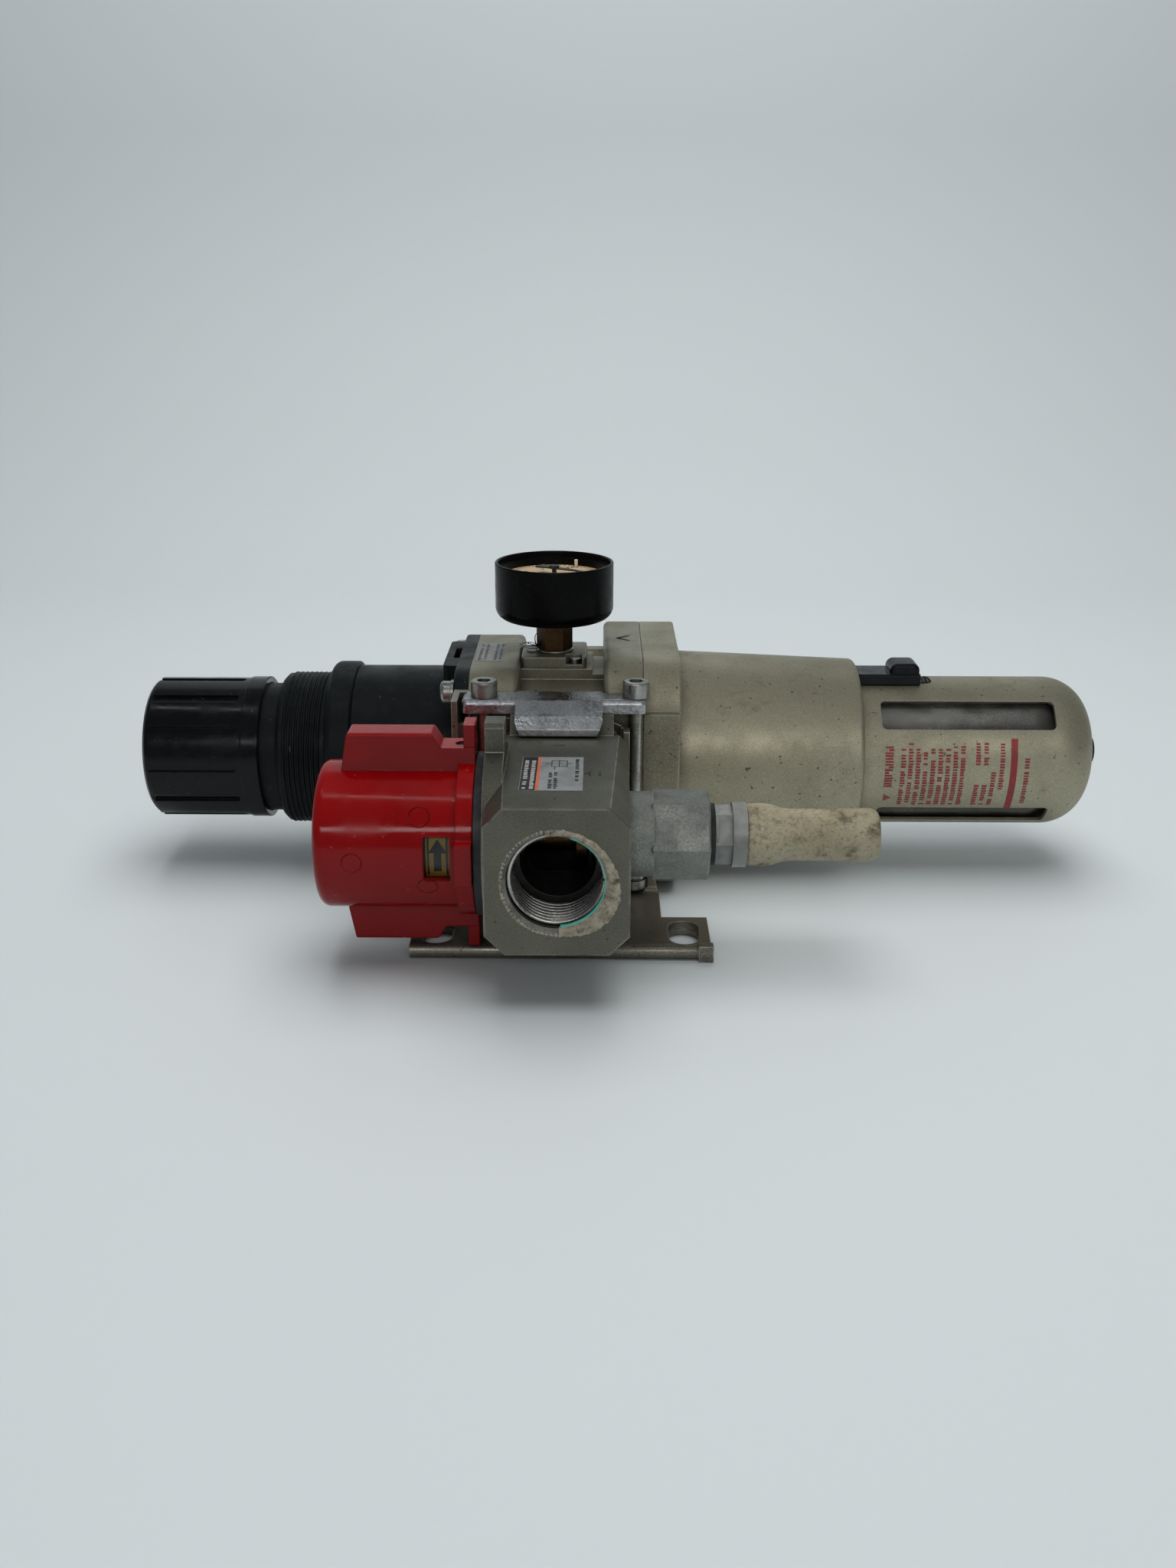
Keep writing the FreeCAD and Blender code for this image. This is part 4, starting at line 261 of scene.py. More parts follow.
def worn_paint(name, base, deep, light, roughness=0.4, metallic=0.88, wear=0.7, dirt_and_shade=0.75, bore=None):
    """Metallic paint: cloudy tone, flake, grime and painted shade in corners, bare edges, scratches; a bore
    in it is painted near-black as shade.
    """
    look = Look(name, roughness, metallic)
    look.soften(0.0006)
    cloud = look.band(look.noise(24.0, 5.0), 0.32, 0.72)
    colour = look.mix(cloud, base, deep)
    flake = look.band(look.noise(2600.0, 1.0), 0.42, 0.72, 0.0, 0.55)
    colour = look.mix(flake, colour, light)
    stain = look.maths("MULTIPLY", look.band(look.noise(70.0, 6.0, 0.7), 0.56, 0.74), 0.35)
    colour = look.mix(stain, colour, (0.10, 0.095, 0.07))
    # Grime and painted shade: the AO mask darkens the colour in corners and gaps.
    grime_and_shade = look.maths(
        "MULTIPLY", look.hollows(0.005), look.band(look.noise(130.0, 4.0), 0.25, 0.6, 0.5, 1.0))
    colour = look.mix(look.maths("MULTIPLY", grime_and_shade, dirt_and_shade), colour, (0.045, 0.040, 0.030))
    specks = look.maths("MULTIPLY", look.band(look.noise(620.0, 2.0, 0.4), 0.70, 0.74), 0.7)
    colour = look.mix(specks, colour, (0.03, 0.028, 0.022))
    bare = look.maths(
        "MULTIPLY", look.band(look.edges(0.0006), 0.003, 0.05), look.band(look.noise(160.0, 4.0), 0.30, 0.55))
    colour = look.mix(look.maths("MULTIPLY", bare, wear), colour, (0.62, 0.61, 0.55))
    colour = look.mix(look.maths("MULTIPLY", look.scratches(), 0.35), colour, light)
    scored = look.maths("MULTIPLY", look.scratches(260.0, 0.67, (0.3, 0.5, 0.9)), 0.6)
    colour = look.mix(scored, colour, (0.06, 0.055, 0.045))
    if bore:
        # Painted shade: inside the bore the colour goes near-black and stops being metallic, in place of the
        # shade deep in the port.
        darkening = look.within(*bore)
        shade = look.mix(
            look.band(look.noise(300.0, 5.0), 0.35, 0.7), (0.006, 0.006, 0.005), (0.018, 0.017, 0.015))
        colour = look.mix(darkening, colour, shade)
        look.feed("Metallic", look.maths("MULTIPLY", look.maths("SUBTRACT", 1.0, darkening), metallic))
    look.feed("Base Color", colour)
    look.feed("Roughness", look.band(look.noise(55.0, 5.0), 0.3, 0.75, roughness - 0.06, roughness + 0.14))
    look.bump(look.noise(1500.0, 2.0), 0.16, 0.0002)
    look.bump(look.noise(60.0, 3.0), 0.10, 0.0008)
    return look.material


def gloss_moulding(name, base, dust, roughness, dusty=0.35, grain=0.03, shine=0.3, scuff=(0.2, 0.2, 0.2)):
    """Glossy plastic or lacquer with dust on top, grime and painted shade in hollows, rubbed patches, chips
    and fine scratches.
    """
    look = Look(name, roughness)
    look.soften(0.0009)
    cloud = look.band(look.noise(35.0, 4.0), 0.3, 0.75, 0.0, 0.5)
    colour = look.mix(cloud, base, tuple(c * 0.6 for c in base))
    settled = look.maths("MULTIPLY", look.upward(), look.band(look.noise(180.0, 6.0, 0.7), 0.42, 0.75))
    colour = look.mix(look.maths("MULTIPLY", settled, dusty), colour, dust)
    # Grime and painted shade: the AO mask darkens the colour in corners and gaps.
    grime_and_shade = look.maths("MULTIPLY", look.hollows(0.004), look.band(look.noise(150.0, 4.0), 0.3, 0.6, 0.4, 1.0))
    colour = look.mix(look.maths("MULTIPLY", grime_and_shade, 0.6), colour, tuple(c * 0.3 + 0.004 for c in base))
    flecks = look.band(look.noise(620.0, 1.0, 0.3), 0.755, 0.785)
    colour = look.mix(look.maths("MULTIPLY", flecks, 0.6), colour, scuff)
    rubbed = look.maths(
        "MULTIPLY", look.band(look.edges(0.0004), 0.01, 0.15), look.band(look.noise(120.0, 4.0), 0.45, 0.65))
    colour = look.mix(look.maths("MULTIPLY", rubbed, 0.55), colour, scuff)
    look.feed("Base Color", colour)
    smear = look.band(look.noise(75.0, 6.0, 0.65), 0.35, 0.7, roughness - 0.04, roughness + 0.16)
    look.feed("Roughness", look.maths("ADD", smear, look.maths("MULTIPLY", look.scratches(650.0), 0.2)))
    look.feed("Specular IOR Level", shine)
    look.bump(look.noise(40.0, 3.0), 0.12, 0.0008)
    look.bump(look.noise(1900.0, 2.0), grain, 0.0002)
    return look.material


def bare_metal(name, base, dark, roughness, grain=0.15, grain_scale=1400.0, tarnish=0.5, dirt_and_shade=0.8, shine=1.0,
               soft=0.0004):
    """Cast, plated or turned metal with tarnish, dirt and painted shade in corners, and a grainy or rubbed
    surface.
    """
    look = Look(name, roughness, shine)
    if soft:
        look.soften(soft)
    colour = look.mix(look.band(look.noise(90.0, 6.0, 0.65), 0.4, 0.72, 0.0, tarnish), base, dark)
    speckle = look.band(look.noise(grain_scale, 2.0), 0.4, 0.7, 0.0, 0.6)
    colour = look.mix(speckle, colour, tuple(min(1.0, c * 1.35) for c in base))
    # Dirt and painted shade: the AO mask darkens the colour in corners and gaps.
    grime_and_shade = look.maths("MULTIPLY", look.hollows(0.003), dirt_and_shade)
    colour = look.mix(grime_and_shade, colour, tuple(c * 0.18 for c in dark))
    rubbed = look.band(look.edges(0.0004), 0.01, 0.15, 0.0, 0.7)
    colour = look.mix(rubbed, colour, tuple(min(1.0, c * 1.5) for c in base))
    look.feed("Base Color", colour)
    look.feed("Roughness", look.band(look.noise(110.0, 5.0), 0.3, 0.7, roughness - 0.08, roughness + 0.18))
    look.bump(look.noise(grain_scale, 2.0), grain, 0.0003)
    look.bump(look.scratches(800.0), 0.08, 0.0002)
    return look.material


def plain_stuff(name, base, dark, roughness, grain=0.12, scale=900.0, metallic=0.0, dusty=0.25):
    """Rubber, print, paper or matte plastic: uneven tone, dust, painted shade in hollows and a fine grain."""
    look = Look(name, roughness, metallic)
    colour = look.mix(look.band(look.noise(140.0, 5.0), 0.35, 0.7), base, dark)
    dust = look.maths("MULTIPLY", look.band(look.noise(700.0, 3.0), 0.58, 0.8), dusty)
    colour = look.mix(dust, colour, (0.30, 0.29, 0.26))
    # Painted shade: the AO mask darkens the colour in corners and gaps.
    colour = look.mix(look.maths("MULTIPLY", look.hollows(0.002), 0.5), colour, tuple(c * 0.3 for c in dark))
    look.feed("Base Color", colour)
    look.feed("Roughness", look.band(look.noise(200.0, 3.0), 0.3, 0.7, roughness - 0.08, roughness + 0.08))
    look.bump(look.noise(scale, 2.0), grain, 0.0002)
    return look.material


def porous_body():
    """Sintered cream plastic: open grain, with oily black stains at the rims."""
    look = Look("porous_cream", 0.92)
    colour = look.mix(look.band(look.noise(60.0, 5.0), 0.3, 0.7), (0.385, 0.348, 0.245), (0.26, 0.228, 0.15))
    darkening = look.band(look.noise(120.0, 8.0, 0.75), 0.50, 0.68, 0.0, 0.85)
    colour = look.mix(darkening, colour, (0.075, 0.06, 0.035))
    dots = look.maths("MULTIPLY", look.band(look.noise(800.0, 3.0, 0.6), 0.52, 0.66), 0.45)
    colour = look.mix(dots, colour, (0.12, 0.10, 0.065))
    edge = look.maths(
        "MULTIPLY", look.band(look.edges(0.0016), 0.02, 0.2),
        look.band(look.noise(260.0, 6.0, 0.7), 0.4, 0.6))
    colour = look.mix(look.maths("MULTIPLY", edge, 0.85), colour, (0.06, 0.045, 0.03))
    pits = look.band(look.pores(1100.0), 0.12, 0.42)
    colour = look.mix(look.band(look.pores(1100.0), 0.10, 0.24, 0.55, 0.0), colour, (0.20, 0.165, 0.10))
    look.feed("Base Color", colour)
    look.bump(pits, 0.5, 0.0003)
    look.bump(look.noise(420.0, 5.0, 0.7), 0.5, 0.0005)
    return look.material


def dried_sealant():
    """Dried cream sealant, crumbly and stained with dark oil."""
    look = Look("dried_sealant", 0.92)
    colour = look.mix(
        look.band(look.noise(260.0, 6.0, 0.7), 0.36, 0.66), (0.44, 0.40, 0.31), (0.25, 0.215, 0.15))
    oil = look.band(look.noise(330.0, 8.0, 0.8), 0.52, 0.66, 0.0, 0.85)
    colour = look.mix(oil, colour, (0.035, 0.028, 0.018))
    look.feed("Base Color", colour)
    look.bump(look.noise(700.0, 6.0, 0.75), 0.9, 0.0008)
    return look.material


def clear_plastic():
    """Scuffed clear bowl, a little yellowed."""
    look = Look("clear_bowl", 0.12)
    haze = look.band(look.noise(60.0, 4.0), 0.3, 0.8)
    look.feed("Base Color", look.mix(haze, (0.42, 0.41, 0.37), (0.28, 0.27, 0.235)))
    look.feed("Transmission Weight", look.band(look.noise(50.0, 3.0), 0.3, 0.8, 0.95, 0.85))
    look.feed("IOR", 1.5)
    look.feed("Roughness", look.band(look.noise(90.0, 4.0), 0.3, 0.75, 0.1, 0.28))
    look.bump(look.scratches(500.0), 0.12, 0.0002)
    return look.material


def make_materials():
    """Every finish of the set, by name."""
    return {
        "champagne": worn_paint(
            "champagne_paint", (0.37, 0.342, 0.245), (0.29, 0.268, 0.19), (0.56, 0.53, 0.41), 0.5),
        "champagne_dull": worn_paint(
            "champagne_dull", (0.12, 0.118, 0.091), (0.092, 0.091, 0.071), (0.20, 0.196, 0.155), 0.4, 0.8,
            bore=(0.0169, 0.048, -0.0525, 0.06)),
        "champagne_mid": worn_paint(
            "champagne_mid", (0.28, 0.262, 0.188), (0.22, 0.208, 0.147), (0.42, 0.395, 0.295), 0.44, 0.85),
        "bracket": worn_paint(
            "bracket_paint", (0.25, 0.23, 0.185), (0.14, 0.125, 0.10), (0.42, 0.39, 0.32), 0.32, 0.75,
            0.9, 0.9),
        "red": gloss_moulding(
            "red_moulding", (0.23, 0.0008, 0.0018), (0.30, 0.08, 0.07), 0.10, 0.035, 0.012, 0.22,
            (0.34, 0.05, 0.04)),
        "knob": gloss_moulding(
            "black_gloss", (0.0016, 0.0019, 0.0026), (0.05, 0.05, 0.046), 0.14, 0.08, 0.015, 0.22,
            (0.04, 0.04, 0.04)),
        "bonnet": gloss_moulding(
            "black_satin", (0.004, 0.0055, 0.006), (0.05, 0.055, 0.05), 0.4, 0.10, 0.08, 0.16,
            (0.05, 0.05, 0.05)),
        "latch": gloss_moulding(
            "black_latch", (0.003, 0.004, 0.006), (0.05, 0.05, 0.05), 0.26, 0.14, 0.05, 0.2,
            (0.05, 0.05, 0.05)),
        "gauge_case": gloss_moulding(
            "gauge_black", (0.001, 0.001, 0.0013), (0.04, 0.04, 0.036), 0.26, 0.04, 0.05, 0.1,
            (0.03, 0.03, 0.03)),
        "zinc_cast": bare_metal(
            "zinc_casting", (0.50, 0.51, 0.52), (0.20, 0.19, 0.21), 0.3, 0.6, 800.0, 0.8, 0.8),
        "zinc_steel": bare_metal(
            "zinc_steel", (0.42, 0.42, 0.39), (0.20, 0.185, 0.14), 0.3, 0.08, 1600.0, 0.8),
        "raw_aluminium": bare_metal(
            "raw_aluminium", (0.25, 0.26, 0.235), (0.16, 0.165, 0.15), 0.5, 0.8, 1100.0, 0.6, 0.7, 0.8),
        "thread_metal": bare_metal(
            "thread_metal", (0.50, 0.49, 0.46), (0.12, 0.115, 0.10), 0.2, 0.05, 1400.0, 0.7, 1.0, 1.0, 0),
        "brass": bare_metal("dark_brass", (0.08, 0.045, 0.02), (0.03, 0.018, 0.01), 0.34, 0.1, 1200.0, 0.9),
        "yellow_brass": bare_metal("brass", (0.55, 0.38, 0.16), (0.30, 0.20, 0.09), 0.36, 0.1, 1200.0, 0.6),
        "spring": bare_metal("spring_steel", (0.42, 0.42, 0.42), (0.22, 0.2, 0.18), 0.34, 0.06, 1600.0),
        "rubber": plain_stuff("rubber", (0.010, 0.010, 0.010), (0.006, 0.006, 0.006), 0.6, dusty=0.12),
        "matte_black": plain_stuff(
            "black_matte", (0.014, 0.014, 0.016), (0.008, 0.008, 0.009), 0.5, dusty=0.12),
        "grey_plastic": plain_stuff(
            "grey_plastic", (0.22, 0.226, 0.208), (0.14, 0.145, 0.132), 0.36, 0.1, 700.0),
        "cream_plastic": plain_stuff("cream_plastic", (0.78, 0.72, 0.55), (0.62, 0.55, 0.38), 0.5),
        "dial": plain_stuff("dial_tan", (0.50, 0.37, 0.23), (0.40, 0.29, 0.17), 0.6, 0.05),
        "porous": porous_body(),
        "clear": clear_plastic(),
        "print_red": plain_stuff("print_red", (0.26, 0.018, 0.022), (0.19, 0.02, 0.022), 0.5, 0.05),
        "print_black": plain_stuff(
            "print_black", (0.005, 0.005, 0.006), (0.012, 0.012, 0.012), 0.4, 0.05, dusty=0.04),
        "print_pale": plain_stuff("print_pale", (0.34, 0.34, 0.32), (0.24, 0.24, 0.22), 0.5, 0.05),
        "print_orange": plain_stuff("print_orange", (0.48, 0.10, 0.04), (0.40, 0.09, 0.04), 0.5, 0.05),
        "print_yellow": plain_stuff("print_yellow", (0.20, 0.135, 0.02), (0.14, 0.095, 0.016), 0.45, 0.05),
        "label": plain_stuff(
            "label_foil", (0.27, 0.285, 0.28), (0.19, 0.20, 0.195), 0.35, 0.06, 900.0, 0.3),
        "sticker": plain_stuff("sticker", (0.17, 0.17, 0.16), (0.12, 0.12, 0.115), 0.4, 0.06),
        "sealant": dried_sealant(),
        "residue": plain_stuff(
            "sealant_residue", (0.20, 0.195, 0.17), (0.05, 0.048, 0.04), 0.7, 0.6, 1200.0),
        "turquoise": plain_stuff("turquoise_film", (0.07, 0.42, 0.33), (0.16, 0.50, 0.42), 0.4, 0.2),
    }


FINISHES = {
    "champagne": ["bowl_housing", "bowl_guard"],
    "champagne_mid": ["regulator_body", "gauge_adapter", "spacer_ring"],
    "champagne_dull": ["relief_valve_body"],
    "bracket": ["bracket", "bracket_rivets"],
    "red": ["valve_handle"],
    "knob": ["adjust_knob"],
    "bonnet": ["bonnet", "panel_ring_nut"],
    "latch": ["latch_button"],
    "gauge_case": ["gauge_case"],
    "zinc_cast": ["clamp_bar_upper", "clamp_bar_lower"],
    "zinc_steel": [
        "bonnet_screws", "adapter_screws", "housing_screws", "clamp_screws", "adjusting_screw",
        "spring_plate", "handle_screw"],
    "raw_aluminium": ["exhaust_gland", "valve_stem"],
    "brass": ["gauge_stem", "spool"],
    "yellow_brass": ["bourdon_tube", "spring_nut", "valve_seat"],
    "spring": ["main_spring", "poppet_spring", "latch_spring"],
    "rubber": ["poppet", "diaphragm", "bowl_seal", "spool_seals", "gland_seal", "joint_seals"],
    "matte_black": [
        "label_drum", "drain_fitting", "air_deflector", "element_retainer", "poppet_guide", "cam_shaft",
        "gauge_pointer"],
    "grey_plastic": ["silencer_collar"],
    "cream_plastic": ["stop_pin", "filter_element"],
    "dial": ["gauge_dial"],
    "porous": ["silencer_core"],
    "clear": ["bowl"],
}


def dress_nodes():
    """Gives every CAD piece its finish."""
    for finish, names in FINISHES.items():
        for name in names:
            mesh = nodes[name].data
            mesh.materials.clear()
            mesh.materials.append(looks[finish])


# ---------------------------------------------------------------- shapes for the added pieces


def flat_top(z):
    """Where a point (x, y, height) of a mark on a level face goes."""
    return lambda x, y, height: (x, y, z + height)


def round_x(radius, axis_y):
    """Where (x, angle, height) goes on a cylinder along X; angles start at the front and grow upwards."""
    def where(x, angle, height):
        turn = math.radians(angle)
        reach = radius + height
        return (x, axis_y - reach * math.cos(turn), AXIS_Z + reach * math.sin(turn))
    return where


def port_front(angle, radius, height):
    """Where (angle, radius, height) goes on the relief valve's port face; the height is towards the front."""
    turn = math.radians(angle)
    return (radius * math.cos(turn), PORT_FACE_Y - height, AXIS_Z + radius * math.sin(turn))


def spread(low, high, count):
    """count + 1 evenly spaced values."""
    return [low + (high - low) * step / count for step in range(count + 1)]


class Solids:
    """Collects closed solids, in millimetres, and makes one mesh piece of them."""

    def __init__(self):
        self.points = []
        self.faces = []

    def slab(self, where, us, vs, low, high):
        """A closed slab between two skins over us and vs; a skin is a height or a function of u and v."""
        start = len(self.points)
        nu, nv = len(us), len(vs)
        for skin in (low, high):
            for u in us:
                for v in vs:
                    height = skin(u, v) if callable(skin) else skin
                    self.points.append(where(u, v, height))

        def at(layer, i, j):
            return start + layer * nu * nv + i * nv + j

        for i in range(nu - 1):
            for j in range(nv - 1):
                self.faces.append((at(0, i, j), at(0, i, j + 1), at(0, i + 1, j + 1), at(0, i + 1, j)))
                self.faces.append((at(1, i, j), at(1, i + 1, j), at(1, i + 1, j + 1), at(1, i, j + 1)))
        for i in range(nu - 1):
            for j in (0, nv - 1):
                self.faces.append((at(0, i, j), at(0, i + 1, j), at(1, i + 1, j), at(1, i, j)))
        for j in range(nv - 1):
            for i in (0, nu - 1):
                self.faces.append((at(0, i, j), at(0, i, j + 1), at(1, i, j + 1), at(1, i, j)))

    def sweep(self, sections, ring=False):
        """A closed tube through sections, each a list of points; ring joins the last one to the first."""
        start = len(self.points)
        size = len(sections[0])
        for section in sections:
            self.points.extend(section)
        count = len(sections)
        for i in range(count if ring else count - 1):
            after = (i + 1) % count
            for j in range(size):
                near, far = start + i * size, start + after * size
                self.faces.append((near + j, near + (j + 1) % size, far + (j + 1) % size, far + j))
        if not ring:
            self.faces.append(tuple(range(start, start + size)))
            self.faces.append(tuple(range(start + (count - 1) * size, start + count * size)))

    def piece(self, name, look, body, smooth=False):
        """The finished object, riding on a body."""
        mesh = bpy.data.meshes.new(name)
        mesh.from_pydata([tuple(c * MM for c in point) for point in self.points], [], self.faces)
        work = bmesh.new()
        work.from_mesh(mesh)
        bmesh.ops.recalc_face_normals(work, faces=work.faces)
        work.to_mesh(mesh)
        work.free()
        mesh.polygons.foreach_set("use_smooth", [smooth] * len(mesh.polygons))
        mesh.materials.append(looks[look])
        made = bpy.data.objects.new(name, mesh)
        scene.collection.objects.link(made)
        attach(made, body)
        return made


def print_rows(solids, where, lines, start, end, tall, step, chance, along_u, thickness=0.05):
    """Rows of small blocks in place of printing; a line is a row's place across the reading direction."""
    for line in lines:
        place = start
        while place < end - step:
            wide = step * chance.uniform(0.55, 0.8)
            if chance.random() > 0.11:
                high = tall * chance.uniform(0.75, 1.0)
                us, vs = [place, place + wide], [line, line + high]
                if not along_u:
                    us, vs = vs, us
                solids.slab(where, us, vs, -0.04, thickness)
            place += step


# ---------------------------------------------------------------- the added pieces


def make_guard_print():
    """Red rows of print round the bowl guard, a bar across, and a short row beyond it."""
    where = round_x(GUARD_R, REG_Y)
    chance = random.Random(11)
    solids = Solids()
    per_mm = math.degrees(1 / GUARD_R)
    for line in spread(133.4, 157.0, 8):
        print_rows(solids, where, [line], -29, 25 - chance.uniform(0, 9), 2.0, 1.15 * per_mm, chance, False)
    for first, last, rows in ((-12, 22, [127.2, 128.6]), (-29, -8, [163.0, 166.2]), (6, 25, [163.0, 166.2]),
                              (-29, 2, [169.4]), (-16, 25, [172.6]), (-27, 14, [182.4])):
        print_rows(solids, where, rows, first, last, 2.0, 1.15 * per_mm, chance, False)
    for height in spread(0.0, 1.0, 8)[1:]:
        half = (1.0 - height) * 3.8
        place = height * 3.4
        solids.slab(where, [127.2 + place, 127.5 + place], spread(-22 - half, -22 + half, 4), -0.04, 0.05)
    solids.slab(where, [176.8, 179.4], spread(-33, 26, 24), -0.04, 0.05)
    solids.piece("guard_print", "print_red", "bowl_unit")


def make_valve_label():
    """Foil label on the valve's top: black end, orange stripe, a port diagram and rows of print."""
    top = flat_top(VALVE_TOP)
    front, back = -36.4, -1.4
    foil = Solids()
    foil.slab(top, [-13.0, 8.3], [front, back], -0.05, 0.09)
    foil.piece("valve_label", "label", "frame")
    dark = Solids()
    dark.slab(top, [-12.8, -7.6], [front + 0.2, back - 0.2], 0.05, 0.12)
    chance = random.Random(5)
    print_rows(dark, top, [-3.4, -1.6], -34.5, -16.0, 1.3, 1.9, chance, False, 0.13)
    print_rows(dark, top, [5.6], -27.0, -3.0, 1.4, 1.25, chance, False, 0.13)
    for x, y, along_x, along_y in (
            (-2.8, -12.0, 5.6, 0.3), (-2.8, -5.6, 5.6, 0.3), (-2.8, -12.0, 0.3, 6.4), (2.5, -12.0, 0.3, 6.4),
            (-0.2, -12.0, 0.3, 6.4), (-5.0, -8.8, 2.2, 0.3), (2.8, -8.8, 2.0, 0.3), (-1.7, -15.0, 0.3, 3.0)):
        dark.slab(top, [x, x + along_x], [y, y + along_y], 0.05, 0.12)
    dark.piece("valve_label_print", "print_black", "frame")
    pale = Solids()
    print_rows(pale, top, [-12.0, -9.6], front + 1.5, back - 1.5, 1.5, 2.0, chance, False, 0.15)
    pale.piece("valve_label_marks", "print_pale", "frame")
    stripe = Solids()
    stripe.slab(top, [-7.5, -6.5], [front + 0.2, back - 0.2], 0.05, 0.12)
    stripe.piece("valve_label_stripe", "print_orange", "frame")


def make_body_marks():
    """Small dark marks on the valve's top, the head's top and the flange's sticker."""
    top = flat_top(VALVE_TOP)
    chance = random.Random(3)
    dark = Solids()
    print_rows(dark, top, [12.0], -3.6, 1.6, 1.2, 1.0, chance, True)
    print_rows(dark, top, [13.6], -21.0, -16.5, 0.9, 0.9, chance, False)
    dark.slab(top, [10.2, 10.9], [-20.8, -16.4], -0.04, 0.05)
    dark.slab(top, [8.6, 10.2], [-18.9, -18.3], -0.04, 0.05)
    arrow = flat_top(AXIS_Z + 46.5)
    for side in (-1, 1):
        for step in range(9):
            x = 20.6 + step * 0.55
            y = 91.0 + side * step * 0.5
            dark.slab(arrow, [x, x + 1.1], [y - 0.8, y + 0.8], -0.04, 0.06)
    dark.piece("body_marks", "print_black", "frame")
    sticker = Solids()
    flange = flat_top(AXIS_Z + 41.2)
    sticker.slab(flange, [-35.8, -24.6], [73.5, 103.5], -0.05, 0.08)
    sticker.piece("flange_sticker", "sticker", "frame")
    words = Solids()
    print_rows(words, flange, [-34.6, -32.4, -28.4, -26.4], 75.0, 102.0, 1.3, 1.35, chance, False, 0.11)
    words.piece("flange_sticker_print", "print_black", "frame")


def make_window_label():
    """Yellow label on the drum behind the handle's window, with a black arrow."""
    where = round_x(21.9, VALVE_Y)
    label = Solids()
    label.slab(where, spread(-45.2, -37.0, 4), spread(-21, 21, 16), -0.05, 0.12)
    label.piece("window_label", "print_yellow", "frame")
    mark = Solids()
    for edge in (-44.6, -38.2):
        mark.slab(where, [edge, edge + 0.6], spread(-19, 19, 12), 0.08, 0.17)
    mark.slab(where, [-42.4, -39.8], spread(-15, 3, 8), 0.08, 0.17)
    for step in range(8):
        half = 2.9 * (1 - step / 8)
        angle = 3 + step * 1.5
        mark.slab(where, [-41.1 - half, -41.1 + half], [angle, angle + 1.5], 0.08, 0.17)
    mark.piece("window_label_arrow", "print_black", "frame")


def make_handle_rings():
    """Three faint round moulding marks on the handle's cylinder."""
    rings = Solids()
    for centre_x, centre_angle, radius in ((-47.0, 32.9, 3.5), (-69.9, -2.5, 3.4), (-44.6, -23.4, 3.4)):
        def where(turn, reach, height, x=centre_x, angle=centre_angle, radius=radius):
            side = (radius + reach) * math.cos(turn)
            rise = math.degrees((radius + reach) * math.sin(turn) / HANDLE_R)
            return round_x(HANDLE_R, VALVE_Y)(x + side, angle + rise, height)

        sections = []
        for step in range(48):
            turn = 2 * math.pi * step / 48
            sections.append([where(turn, reach, height) for reach, height in (
                (-0.32, -0.05), (-0.12, 0.05), (0.12, 0.05), (0.32, -0.05))])
        rings.sweep(sections, ring=True)
    rings.piece("handle_cast_rings", "red", "handle", True)


def helix(place, start, end, pitch, root, crest, steps=64):
    """Sections of a thread's ridge; place(angle, radius, along) gives a point."""
    turns = abs(end - start) / pitch
    sections = []
    for step in range(int(turns * steps) + 1):
        angle = step * 360 / steps
        along = start + (end - start) * step / (turns * steps)
        sections.append([
            place(angle, radius, along + shift * pitch)
            for radius, shift in ((root, -0.46), (crest, -0.08), (crest, 0.08), (root, 0.46))])
    return sections


def make_threads():
    """Pipe threads in both ports, and the thread on the bonnet's collar."""
    def along_y(angle, radius, along):
        turn = math.radians(angle)
        return (radius * math.cos(turn), along, AXIS_Z + radius * math.sin(turn))

    def along_x(angle, radius, along):
        turn = math.radians(angle)
        return (along, REG_Y + radius * math.cos(turn), AXIS_Z + radius * math.sin(turn))

    for name, start, end in (("inlet_thread", -50.6, -34.4), ("outlet_thread", 135.8, 119.2)):
        ridge = Solids()
        ridge.sweep(helix(along_y, start, end, THREAD_PITCH, 16.72, 15.0, 72))
        ridge.piece(name, "thread_metal", "frame", True)
    ridge = Solids()
    ridge.sweep(helix(along_x, -97.0, -112.6, 1.95, 30.45, 31.1, 90))
    ridge.piece("collar_thread", "bonnet", "frame")


